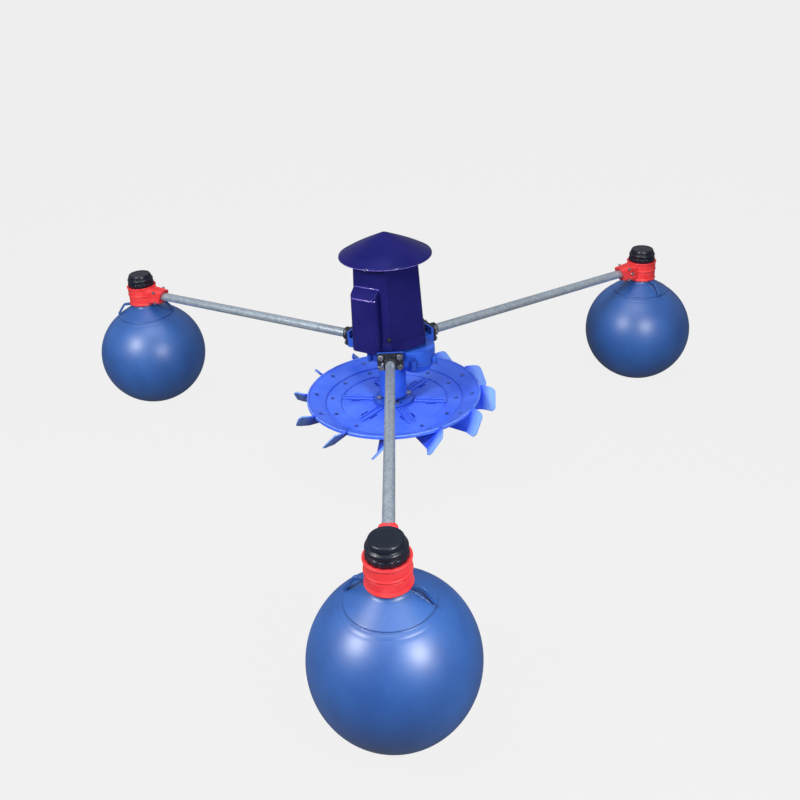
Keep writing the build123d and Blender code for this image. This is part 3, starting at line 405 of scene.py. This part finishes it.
def tube_zinc():
    """Hot-dip galvanised tube: dull grey with crystal patches and dark specks."""
    finish = Finish("tube_zinc", 0.3, metallic=0.62)
    crystal = finish.cells(150.0, "Color")
    patch = finish.part_of(crystal, "X")
    cloud = finish.noise(30.0, 5.0, 0.6)
    blend = (patch * 0.4 + cloud * 0.6).above(0.5, 0.7)
    tone = finish.mixed(paint(162, 176, 192), paint(204, 216, 228), blend)
    speck = finish.noise(260.0, 4.0, 0.7)
    finish.set(Base_Color=finish.mixed(tone, paint(92, 102, 112), speck.above(0.62, 0.14) * 0.45))
    finish.set(Roughness=0.24 + patch * 0.08 + speck * 0.08)
    finish.set(Normal=finish.bump(speck + cloud, 0.06, 0.0003))
    return finish.material


def core_steel():
    """Stacked laminations of the motor cores."""
    finish = Finish("core_steel", 0.5, metallic=0.9)
    layers = finish.noise(40.0, 2.0, 0.5, finish.stretched((1.0, 1.0, 40.0)))
    finish.set(Base_Color=finish.mixed(paint(120, 120, 124), paint(168, 168, 170), layers))
    finish.set(Roughness=0.4 + layers * 0.2)
    finish.set(Normal=finish.bump(layers, 0.3, 0.0004))
    return finish.material


def seal_rubber():
    """Black sealing rubber."""
    finish = Finish("seal_rubber", 0.7)
    bloom = finish.noise(90.0, 4.0)
    finish.set(Base_Color=finish.mixed(paint(28, 28, 30), paint(52, 52, 54), bloom))
    finish.set(Normal=finish.bump(finish.noise(700.0, 2.0), 0.15, 0.0003))
    return finish.material


finishes = {
    "hood_plastic": hood_plastic(),
    "hood_edge_painted_highlight": hood_edge_painted_highlight(),
    "bowl_edge_painted_highlight": bowl_edge_painted_highlight(),
    "socket_black": socket_black(),
    "cap_black": cap_black(),
    "case_blue": case_blue(),
    "core_steel": core_steel(),
    "steel": bright_metal("steel", paint(150, 150, 154), paint(190, 190, 192), 0.32, 60.0),
    "zinc": bright_metal("zinc", paint(176, 180, 188), paint(226, 228, 232), 0.28, 120.0),
    "screw_dull": bright_metal("screw_dull", paint(76, 100, 184), paint(120, 146, 220), 0.45, 90.0),
    "tube_zinc": tube_zinc(),
    "seal_rubber": seal_rubber(),
    "impeller_plastic": impeller_plastic(),
    "blade_plastic": blade_plastic(),
    "clamp_red": clamp_red(),
    "float_plastic": float_plastic(),
}

# Small fastenings that the photograph shows dull: the cover screws in the black finish, as painted shade
# of the hood's recesses, and blue-grey on the bowl
PAINTED_SHADE_AND_DULL_FASTENINGS = {"cover_screws": "socket_black", "blade_screws": "screw_dull"}


def finish_of(node):
    """The record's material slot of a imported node."""
    for part in frame["record"]["subparts"]:
        if part["node"] == node:
            return part["material_slot"]
    return "steel"


def dress_nodes():
    for name, node in nodes.items():
        material = finishes[PAINTED_SHADE_AND_DULL_FASTENINGS.get(name, finish_of(name))]
        if not node.material_slots:
            node.data.materials.append(material)
        for holder in node.material_slots:
            holder.material = material


# Modelling by hand: an outline or a sheet is added, edited with the mesh operators and finished


def select_where(piece, wanted):
    """In edit mode, selects the vertices whose place answers the question."""
    shape = bmesh.from_edit_mesh(piece.data)
    for vertex in shape.verts:
        vertex.select_set(bool(wanted(vertex.co)))
    shape.select_flush(True)
    bmesh.update_edit_mesh(piece.data)


def drop_faces_where(piece, wanted):
    """In edit mode, deletes the faces whose middle answers the question."""
    shape = bmesh.from_edit_mesh(piece.data)
    bpy.ops.mesh.select_mode(type="FACE")
    bpy.ops.mesh.select_all(action="DESELECT")
    for face in shape.faces:
        face.select_set(bool(wanted(face.calc_center_median())))
    bmesh.update_edit_mesh(piece.data)
    bpy.ops.mesh.delete(type="FACE")
    bpy.ops.mesh.select_mode(type="VERT")


def new_sheet(name, place, size, turn=(0.0, 0.0, 0.0)):
    """A flat square, ready in edit mode, with its place in its mesh."""
    bpy.ops.object.select_all(action="DESELECT")
    bpy.ops.mesh.primitive_plane_add(size=size, location=place, rotation=turn)
    piece = bpy.context.object
    piece.name = name
    bpy.ops.object.transform_apply(location=True, rotation=True, scale=True)
    bpy.ops.object.mode_set(mode="EDIT")
    bpy.ops.mesh.select_mode(type="VERT")
    bpy.ops.mesh.select_all(action="SELECT")
    return piece


def lathe(name, outline, axis, steps):
    """Spins an outline of (radius, height) points in millimetres about an upright axis."""
    points = [Vector((axis.x + radius * MILLIMETRE, axis.y, axis.z + height * MILLIMETRE))
              for radius, height in outline]
    piece = new_sheet(name, points[0], MILLIMETRE)
    bpy.ops.mesh.merge(type="CENTER")
    for start, end in zip(points, points[1:]):
        bpy.ops.mesh.extrude_vertices_move(TRANSFORM_OT_translate={"value": end - start})
    bpy.ops.mesh.select_all(action="SELECT")
    bpy.ops.mesh.spin(steps=steps, angle=math.tau, center=axis, axis=(0.0, 0.0, 1.0))
    bpy.ops.mesh.select_all(action="SELECT")
    bpy.ops.mesh.remove_doubles(threshold=0.02 * MILLIMETRE)
    bpy.ops.mesh.normals_make_consistent(inside=False)
    bpy.ops.object.mode_set(mode="OBJECT")
    return piece


def arc(centre, radius, start, end, count):
    """Points on a round stretch of an outline, from one angle to another in degrees."""
    turns = [math.radians(start + (end - start) * index / count) for index in range(count + 1)]
    return [(centre[0] + radius * math.cos(turn), centre[1] + radius * math.sin(turn)) for turn in turns]


def finish_piece(piece, finish, body, *replaced, angle=35.0, look=None):
    """Smooths and paints a piece and hangs it on its body in place of its nodes."""
    bpy.ops.object.select_all(action="DESELECT")
    piece.select_set(True)
    bpy.context.view_layer.objects.active = piece
    bpy.ops.object.shade_smooth_by_angle(angle=math.radians(angle))
    piece.data.materials.append(finishes[look or finish])
    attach(piece, body)
    if replaced:
        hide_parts(*replaced)


def finished_with(piece, kind, **settings):
    """Applies one modifier."""
    bpy.ops.object.select_all(action="DESELECT")
    piece.select_set(True)
    bpy.context.view_layer.objects.active = piece
    modifier = piece.modifiers.new(kind.lower(), kind)
    for name, value in settings.items():
        setattr(modifier, name, value)
    bpy.ops.object.modifier_apply(modifier=modifier.name)


def copied(piece, name, matrix):
    """A copy with its own mesh, moved by a matrix."""
    twin = piece.copy()
    twin.data = piece.data.copy()
    twin.name = name
    twin.data.transform(matrix)
    bpy.context.scene.collection.objects.link(twin)
    return twin


def neck_axis(side):
    """Centre of one float's neck at the level of the tubes."""
    turn = math.radians(ARM_AZIMUTH[side])
    return HUB + Vector((math.cos(turn), math.sin(turn), 0.0)) * ARM_REACH


def ball_arc(radius, start_radius):
    """Side of the ball from a ring near its top down to its foot or its lowest point."""
    start = math.degrees(math.acos(start_radius / radius))
    end = -90.0
    return arc((0.0, -BALL_DROP), radius, start, end, 56)


def ball_outline():
    """Outside from the seam over two fine mould lines to the flat foot, then the inside back up."""
    outside = [point for point in ball_arc(BALL_RADIUS, SEAM_RADIUS) if point[0] > BALL_FOOT]
    seam_z = outside[0][1]
    lines = []
    half_width = LINE_SECTION[-1][0]
    for drop, depth in MOULD_LINES:
        for offset, share in LINE_SECTION:
            height = seam_z - drop - offset - half_width
            reach = math.sqrt((BALL_RADIUS - depth * share) ** 2 - (height + BALL_DROP) ** 2)
            lines.append((reach, height))
    lines.sort(key=lambda point: -point[1])
    lowest_line = lines[-1][1]
    below = [point for point in outside if point[1] < lowest_line - 1.5]
    floor_z = -(BALL_DROP + BALL_RADIUS)
    inner = BALL_RADIUS - BALL_WALL
    inside = [point for point in ball_arc(inner, SEAM_RADIUS - BALL_WALL) if point[1] < seam_z]
    inside = [(max(radius, 0.0), height) for radius, height in reversed(inside)]
    foot = [(BALL_FOOT, floor_z + 0.6), (BALL_FOOT - 1.0, floor_z), (0.0, floor_z)]
    return [outside[0]] + lines + below + foot + inside + [(SEAM_RADIUS - BALL_WALL, seam_z), outside[0]]


def float_balls():
    """Blow-moulded balls, closed hollow shells."""
    first = lathe("ball_shell_front", ball_outline(), neck_axis("front"), BALL_COLUMNS)
    for side in SIDES[1:]:
        way = Matrix.Translation(neck_axis(side) - neck_axis("front"))
        shell = copied(first, "ball_shell_" + side, way)
        finish_piece(shell, "float_plastic", "frame", "float_ball_" + side)
    finish_piece(first, "float_plastic", "frame", "float_ball_front")


def cap_outline():
    """Screw cap from its foot over a bulging band and a crowned disc, and back down its bore."""
    low, high = CAP_LOW, CAP_LOW + CAP_HEIGHT
    skirt = [(CAP_BORE, low), (CAP_RADIUS - 0.8, low), (CAP_RADIUS, low + 0.8), (CAP_RADIUS, low + 5.5),
             (CAP_RADIUS, low + 10.5), (CAP_RADIUS - 1.0, low + 12.0)]
    groove = [(CAP_RADIUS - 3.6, low + 12.8), (CAP_RADIUS - 3.8, low + 14.2)]
    band = arc((CAP_RADIUS - 9.0, low + 20.4), 8.4, -42.0, 32.0, 8)
    neck = [(CAP_RADIUS - 5.2, low + 26.4), (CAP_RADIUS - 6.6, low + 27.6),
            (CAP_RADIUS - 6.6, low + 28.6)]
    disc = [(CAP_RADIUS - 4.9, low + 29.4), (CAP_RADIUS - 4.7, low + 30.6)]
    shoulder = arc((CAP_TOP_RADIUS - 4.0, high - 4.4), 4.2, 20.0, 84.0, 6)
    dished = [(CAP_TOP_RADIUS - 7.0, high - 0.6), (CAP_TOP_RADIUS - 9.0, high - 1.2),
              (14.0, high - 0.4), (0.0, high)]
    inside = [(0.0, CAP_ROOF), (CAP_BORE, CAP_ROOF), (CAP_BORE, low)]
    return skirt + groove + band + neck + disc + shoulder + dished + inside


def scallop(piece, axis):
    """Draws every few columns of the skirt inwards, so that it has finger grips."""
    low = axis.z + (CAP_LOW - 1.0) * MILLIMETRE
    high = axis.z + (CAP_LOW + 11.0) * MILLIMETRE
    for column, share in GRIP_SHARES:
        def in_grip(place):
            turn = math.degrees(math.atan2(place.y - axis.y, place.x - axis.x)) % 360.0
            step = round(turn / (360.0 / (CAP_GRIPS * GRIP_COLUMNS))) % GRIP_COLUMNS
            reach = math.hypot(place.x - axis.x, place.y - axis.y)
            return step == column and low < place.z < high and reach > (CAP_RADIUS - 1.0) * MILLIMETRE
        bpy.ops.object.mode_set(mode="EDIT")
        select_where(piece, in_grip)
        bpy.ops.transform.resize(value=(share, share, 1.0), center_override=axis)
        bpy.ops.object.mode_set(mode="OBJECT")


def screw_caps():
    """Black stepped caps, each on its own body."""
    axis = neck_axis("front")
    first = lathe("screw_cap_front", cap_outline(), axis, CAP_GRIPS * GRIP_COLUMNS)
    scallop(first, axis)
    for side in SIDES[1:]:
        cap = copied(first, "screw_cap_" + side, Matrix.Translation(neck_axis(side) - axis))
        finish_piece(cap, "cap_black", "cap_" + side, "float_cap_" + side, angle=50.0)
    finish_piece(first, "cap_black", "cap_front", "float_cap_front", angle=50.0)


def roof_height(radius):
    """Upper face of the roof, a cone that curves down towards its rim."""
    share = radius / ROOF_RADIUS
    fall = (1 - ROOF_DOME) * share + ROOF_DOME * share ** 4
    return ROOF_RIM_Z + (ROOF_APEX_Z - ROOF_RIM_Z) * (1 - fall)


def rain_roof():
    """Slightly domed cone with a soft apex and a rolled rim."""
    slope = (ROOF_APEX_Z - ROOF_RIM_Z) / ROOF_RADIUS
    crown = [(radius, roof_height((radius ** 2 + CROWN_RADIUS ** 2) / (2 * CROWN_RADIUS)))
             for radius in (0.0, 1.8, 3.6, 5.4, 7.2)]
    cone = [(radius, roof_height(radius)) for radius in range(12, 124, 8)]
    bead_z = ROOF_RIM_Z - ROOF_BEAD_DROP
    bead = arc((ROOF_RADIUS - ROOF_BEAD, bead_z), ROOF_BEAD, 75.0, -90.0, 10)
    drop = ROOF_WALL * math.hypot(1.0, slope)
    under = [(ROOF_RADIUS - 6.0, bead_z - ROOF_BEAD), (ROOF_RADIUS - 7.0, bead_z - 1.6),
             (ROOF_RADIUS - 9.0, ROOF_APEX_Z - slope * (ROOF_RADIUS - 9.0) - drop)]
    inner_top = (CROWN_RADIUS, ROOF_APEX_Z - slope * CROWN_RADIUS - drop)
    outline = crown + cone + bead + under + [inner_top, (0.0, inner_top[1])]
    roof = lathe("rain_roof", outline, HUB, ROOF_COLUMNS)
    finish_piece(roof, "hood_plastic", "frame", "cover_roof", angle=60.0)


def paddle_sheet():
    """Pitched sheet of a paddle along +X of the hub, with round corners and a bent tip."""
    lean = math.radians(PADDLE_PITCH)
    length = (PADDLE_TIP - PADDLE_ROOT) * MILLIMETRE
    height = (PADDLE_TOP - PADDLE_LOW) * MILLIMETRE
    middle = Vector((HUB.x + (PADDLE_TIP + PADDLE_ROOT) / 2 * MILLIMETRE, HUB.y,
                     HUB.z + (PADDLE_TOP + PADDLE_LOW) / 2 * MILLIMETRE))
    piece = new_sheet("paddle_01", middle, 1.0, (math.pi / 2 - lean, 0.0, 0.0))
    slant = height / math.cos(lean)
    bpy.ops.transform.resize(value=(length, 1.0, 1.0), center_override=middle)
    bpy.ops.transform.resize(value=(1.0, slant, slant), center_override=middle)
    tip = HUB.x + PADDLE_TIP * MILLIMETRE
    select_where(piece, lambda place: place.x > tip - MILLIMETRE)
    bpy.ops.mesh.bevel(offset=PADDLE_CORNER * MILLIMETRE, segments=6, affect="VERTICES")
    bends = [HUB.x + reach * MILLIMETRE for reach in PADDLE_BENDS]
    for bend in bends:
        bpy.ops.mesh.select_all(action="SELECT")
        bpy.ops.mesh.bisect(plane_co=(bend, 0.0, 0.0), plane_no=(1.0, 0.0, 0.0))
    for bend in bends:
        select_where(piece, lambda place: place.x > bend + MILLIMETRE)
        bpy.ops.transform.translate(value=(0.0, -BEND_SHIFT * MILLIMETRE, 0.0))
    return piece


def cut_under_bowl(piece):
    """Trims the sheet along the bowl's lower face, as far out as the rolled rim, which it meets."""
    rim = HUB.x + (RIM_RADIUS - RIM_OVERLAP) * MILLIMETRE
    bpy.ops.mesh.select_all(action="SELECT")
    bpy.ops.mesh.bisect(plane_co=(rim, 0.0, 0.0), plane_no=(1.0, 0.0, 0.0))
    slopes = []
    for reach, height, rise in UNDER_SLOPES:
        spot = Vector((HUB.x + reach * MILLIMETRE, 0.0, HUB.z + height * MILLIMETRE))
        slopes.append((spot, Vector((-rise, 0.0, 1.0))))
    for spot, upwards in slopes:
        select_where(piece, lambda place: place.x < rim + 0.1 * MILLIMETRE)
        bpy.ops.mesh.bisect(plane_co=spot, plane_no=upwards)
    drop_faces_where(piece, lambda middle: middle.x < rim and all(
        (middle - spot).dot(upwards) > 0.0 for spot, upwards in slopes))


def paddle_foot():
    """Strip that carries a paddle against the bowl's lower face."""
    side = HUB.y - FOOT_WIDTH / 2 * MILLIMETRE
    points = [Vector((HUB.x + reach * MILLIMETRE, side, HUB.z + height * MILLIMETRE))
              for reach, height in FOOT_LINE]
    foot = new_sheet("paddle_foot", points[0], MILLIMETRE)
    bpy.ops.mesh.merge(type="CENTER")
    for start, end in zip(points, points[1:]):
        bpy.ops.mesh.extrude_vertices_move(TRANSFORM_OT_translate={"value": end - start})
    bpy.ops.mesh.select_all(action="SELECT")
    across = (0.0, FOOT_WIDTH * MILLIMETRE, 0.0)
    bpy.ops.mesh.extrude_region_move(TRANSFORM_OT_translate={"value": across})
    bpy.ops.mesh.select_all(action="SELECT")
    bpy.ops.mesh.normals_make_consistent(inside=False)
    bpy.ops.object.mode_set(mode="OBJECT")
    finished_with(foot, "SOLIDIFY", thickness=FOOT_WALL * MILLIMETRE, offset=0.0)
    finished_with(foot, "BEVEL", width=FOOT_EDGE * MILLIMETRE, segments=2, limit_method="ANGLE")
    return foot


def paddles():
    """Twelve pitched paddles under the bowl, each with its foot."""
    first = paddle_sheet()
    cut_under_bowl(first)
    bpy.ops.mesh.select_all(action="SELECT")
    bpy.ops.mesh.normals_make_consistent(inside=False)
    bpy.ops.object.mode_set(mode="OBJECT")
    finished_with(first, "SOLIDIFY", thickness=PADDLE_WALL * MILLIMETRE, offset=0.0)
    finished_with(first, "BEVEL", width=PADDLE_EDGE * MILLIMETRE, segments=3, limit_method="ANGLE")
    foot = paddle_foot()
    bpy.ops.object.select_all(action="DESELECT")
    foot.select_set(True)
    first.select_set(True)
    bpy.context.view_layer.objects.active = first
    bpy.ops.object.join()
    swing = Matrix.Translation(HUB) @ Matrix.Rotation(math.radians(PADDLE_OFFSET), 4, "Z")
    first.data.transform(swing @ Matrix.Translation(-HUB))
    for index in range(1, PADDLE_COUNT):
        turn = Matrix.Rotation(math.tau / PADDLE_COUNT * index, 4, "Z")
        about_hub = Matrix.Translation(HUB) @ turn @ Matrix.Translation(-HUB)
        twin = copied(first, f"paddle_{index + 1:02d}", about_hub)
        finish_piece(twin, "blade_plastic", "impeller", "impeller_blades")
    finish_piece(first, "blade_plastic", "impeller", "impeller_blades")


def backing_ring():
    """Stiffening ring moulded under the bowl's floor, behind the slots."""
    outline = [(92.0, -194.1), (92.0, -197.0), (94.0, -199.5), (97.0, -199.5), (98.5, -197.2),
               (127.5, -197.2), (129.0, -199.5), (132.0, -199.5), (134.0, -197.0), (134.0, -194.1),
               (92.0, -194.1)]
    ring = lathe("slot_backing_ring", outline, HUB, 96)
    finish_piece(ring, "impeller_plastic", "impeller")


def rounded_bar(name, points, radius):
    """Round bar with closed ends along a few points in metres."""
    bar = new_sheet(name, points[0], MILLIMETRE)
    bpy.ops.mesh.merge(type="CENTER")
    for start, end in zip(points, points[1:]):
        bpy.ops.mesh.extrude_vertices_move(TRANSFORM_OT_translate={"value": end - start})
    bpy.ops.object.mode_set(mode="OBJECT")
    bpy.ops.object.convert(target="CURVE")
    bar = bpy.context.object
    bar.data.bevel_depth = radius
    bar.data.bevel_resolution = 4
    bar.data.use_fill_caps = True
    bpy.ops.object.convert(target="MESH")
    return bpy.context.object


def bulge_point(reach, side, height):
    """Place on the hood's bulge, from its millimetres outwards, sideways and up from the hub."""
    turn = math.radians(BULGE_AZIMUTH)
    outwards = Vector((math.cos(turn), math.sin(turn), 0.0))
    sideways = Vector((-outwards.y, outwards.x, 0.0))
    upwards = Vector((0.0, 0.0, height))
    return HUB + (outwards * reach + sideways * side + upwards) * MILLIMETRE


def bulge_beads():
    """Moulded beads along the two creases of the bulge's shoulder."""
    rows = {"shoulder_bead_low": (117.0, 172.6, -40.0, 20.0),
            "shoulder_bead_high": (90.9, 198.4, -46.0, 26.0)}
    for name, (reach, height, left, right) in rows.items():
        line = [(reach - 3.5, left - 5.0, height - 0.6), (reach - 0.6, left, height),
                (reach, (left + right) / 2, height), (reach - 0.6, right, height),
                (reach - 2.4, right + 4.0, height - 0.3), (reach - 6.5, right + 7.5, height - 0.8)]
        bead = rounded_bar(name, [bulge_point(*point) for point in line], CREASE_BEAD * MILLIMETRE)
        # The beads take the finish with the painted highlight.
        finish_piece(bead, "hood_plastic", "frame", angle=80.0, look="hood_edge_painted_highlight")


def roof_rim():
    """Rolled lower edge of the roof."""
    outline = arc((ROOF_RADIUS - ROLL_RADIUS + 0.2, ROOF_RIM_Z - ROLL_DROP), ROLL_RADIUS, 0.0, 360.0, 12)
    ring = lathe("roof_rim_roll", outline, HUB, ROOF_COLUMNS)
    # The roll takes the finish with the painted highlight.
    finish_piece(ring, "hood_plastic", "frame", angle=80.0, look="hood_edge_painted_highlight")


def half_bead(name, radius, height, width, rise, look="impeller_plastic"):
    """Small raised ring on the bowl, half round in section."""
    outline = [(radius + width * math.cos(turn), height + rise * math.sin(turn))
               for turn in (math.pi * index / 8 for index in range(9))]
    closing = [(radius - width, height - 1.0), (radius + width, height - 1.0), outline[0]]
    ring = lathe(name, outline + closing, HUB, 160)
    finish_piece(ring, "impeller_plastic", "impeller", angle=60.0, look=look)


def bowl_beads():
    """Rolled rim and the two raised rings inside the bowl."""
    # The rim bead takes the paler finish, a painted highlight.
    half_bead("bowl_rim_bead", RIM_RADIUS - 2.2, -163.4, 2.2, 2.4, "bowl_edge_painted_highlight")
    half_bead("bowl_step_bead", 205.0, -183.6, 1.8, 2.0)
    half_bead("bowl_floor_bead", 159.5, -188.8, 1.6, 1.8)


def channel_ribs():
    """Two round ribs along each of the six radial channels of the bowl's floor."""
    turn = math.radians(RIB_OFFSET)
    along = Vector((math.cos(turn), math.sin(turn), 0.0))
    aside = Vector((-along.y, along.x, 0.0))
    base = HUB + (aside * -RIB_ASIDE + Vector((0.0, 0.0, RIB_HEIGHT))) * MILLIMETRE
    places = [base + along * (reach * MILLIMETRE) - Vector((0.0, 0.0, drop * MILLIMETRE))
              for reach, drop in RIB_LINE]
    first = rounded_bar("channel_rib_01", places, RIB_RADIUS * MILLIMETRE)
    shifts = (Matrix.Identity(4), Matrix.Translation(aside * (2 * RIB_ASIDE * MILLIMETRE)))
    for number in range(2, 2 * RIB_PAIRS + 1):
        pair, side = divmod(number - 1, 2)
        swing = Matrix.Rotation(math.tau / RIB_PAIRS * pair, 4, "Z")
        about_hub = Matrix.Translation(HUB) @ swing @ Matrix.Translation(-HUB)
        rib = copied(first, f"channel_rib_{number:02d}", about_hub @ shifts[side])
        finish_piece(rib, "impeller_plastic", "impeller", angle=80.0)
    finish_piece(first, "impeller_plastic", "impeller", angle=80.0)


def model_pieces():
    float_balls()
    screw_caps()
    rain_roof()
    paddles()
    backing_ring()
    bulge_beads()
    bowl_beads()
    channel_ribs()
    roof_rim()


# Stage, light and camera

BACKDROP = paint(239, 239, 239)
FLOOR_PLAIN = paint(254, 254, 254)
WORLD_LEVEL = 0.27
FLOOR_MATT = (0.13, 0.13, 0.13, 1.0)
FLOOR_PLAIN_SHARE = 0.86
MIRRORED_SHARE = 0.12


def direct_rays(tree):
    """1 where a camera or transmission ray arrives, and a part of that for mirrored rays."""
    rays = tree.nodes.new("ShaderNodeLightPath")
    mirrored = tree.nodes.new("ShaderNodeMath")
    mirrored.operation = "MULTIPLY"
    mirrored.inputs[1].default_value = MIRRORED_SHARE
    tree.links.new(rays.outputs["Is Glossy Ray"], mirrored.inputs[0])
    socket = mirrored.outputs[0]
    for name in ("Is Camera Ray", "Is Transmission Ray"):
        either = tree.nodes.new("ShaderNodeMath")
        either.operation = "MAXIMUM"
        tree.links.new(socket, either.inputs[0])
        tree.links.new(rays.outputs[name], either.inputs[1])
        socket = either.outputs[0]
    return socket


def world_light():
    """Soft grey-white surroundings, seen by the camera as the plain backdrop."""
    world = bpy.data.worlds.new("surroundings")
    bpy.context.scene.world = world
    world.use_nodes = True
    tree = world.node_tree
    tree.nodes.clear()
    output = tree.nodes.new("ShaderNodeOutputWorld")
    seen = tree.nodes.new("ShaderNodeBackground")
    seen.inputs["Color"].default_value = BACKDROP
    lit = tree.nodes.new("ShaderNodeBackground")
    lit.inputs["Color"].default_value = (0.94, 0.97, 1.0, 1.0)
    lit.inputs["Strength"].default_value = WORLD_LEVEL
    choice = tree.nodes.new("ShaderNodeMixShader")
    tree.links.new(direct_rays(tree), choice.inputs[0])
    tree.links.new(lit.outputs[0], choice.inputs[1])
    tree.links.new(seen.outputs[0], choice.inputs[2])
    tree.links.new(choice.outputs[0], output.inputs[0])


def floor():
    """Plain pale floor that keeps a faint shadow of the object."""
    bpy.ops.object.select_all(action="DESELECT")
    bpy.ops.mesh.primitive_plane_add(size=60.0, location=(0.0, 0.0, -0.0005))
    ground = bpy.context.object
    ground.name = "studio_floor"
    material = bpy.data.materials.new("studio_floor")
    material.use_nodes = True
    tree = material.node_tree
    tree.nodes.clear()
    output = tree.nodes.new("ShaderNodeOutputMaterial")
    matt = tree.nodes.new("ShaderNodeBsdfDiffuse")
    matt.inputs["Color"].default_value = FLOOR_MATT
    plain = tree.nodes.new("ShaderNodeEmission")
    plain.inputs["Color"].default_value = FLOOR_PLAIN
    share = tree.nodes.new("ShaderNodeMath")
    share.operation = "MULTIPLY"
    share.inputs[1].default_value = FLOOR_PLAIN_SHARE
    choice = tree.nodes.new("ShaderNodeMixShader")
    tree.links.new(direct_rays(tree), share.inputs[0])
    tree.links.new(share.outputs[0], choice.inputs[0])
    tree.links.new(matt.outputs[0], choice.inputs[1])
    tree.links.new(plain.outputs[0], choice.inputs[2])
    tree.links.new(choice.outputs[0], output.inputs[0])
    ground.data.materials.append(material)


def softbox(name, azimuth, elevation, distance, size, power):
    """Rectangular studio lamp that faces the hub."""
    lamp = bpy.data.lights.new(name, "AREA")
    lamp.shape = "RECTANGLE"
    lamp.size, lamp.size_y = size
    lamp.energy = power
    holder = bpy.data.objects.new(name, lamp)
    bpy.context.scene.collection.objects.link(holder)
    turn = math.radians(azimuth)
    rise = math.radians(elevation)
    outwards = Vector((math.cos(turn) * math.cos(rise), math.sin(turn) * math.cos(rise), math.sin(rise)))
    holder.location = HUB + outwards * distance
    holder.rotation_mode = "QUATERNION"
    holder.rotation_quaternion = outwards.to_track_quat("Z", "Y")


def lights():
    softbox("key_left", -138.9, 34.1, 3.21, (0.6, 0.9), 70.0)
    softbox("key_right", -63.2, 25.3, 2.57, (0.45, 0.66), 38.0)
    softbox("overhead", -90.0, 80.0, 3.4, (2.6, 2.0), 44.0)


def camera():
    data = bpy.data.cameras.new("photo_view")
    holder = bpy.data.objects.new("photo_view", data)
    bpy.context.scene.collection.objects.link(holder)
    data.sensor_width = 36.0
    data.lens = CAMERA_LENS
    data.shift_x, data.shift_y = CAMERA_SHIFT
    rise = math.radians(CAMERA_ELEVATION)
    back = Vector((0.0, -math.cos(rise), math.sin(rise)))
    right = Vector((1.0, 0.0, 0.0))
    up = right.cross(-back)
    roll = math.radians(CAMERA_ROLL)
    across = right * math.cos(roll) - up * math.sin(roll)
    above = right * math.sin(roll) + up * math.cos(roll)
    axes = Matrix((across, above, back)).transposed().to_4x4()
    place = Matrix.Translation(CAMERA_TARGET + back * CAMERA_DISTANCE)
    swing = Matrix.Rotation(math.radians(CAMERA_AZIMUTH), 4, "Z")
    holder.matrix_world = Matrix.Translation(HUB) @ swing @ place @ axes
    bpy.context.scene.camera = holder


bpy.context.scene.view_settings.view_transform = "Standard"
camera()
world_light()
floor()
lights()
dress_nodes()
model_pieces()
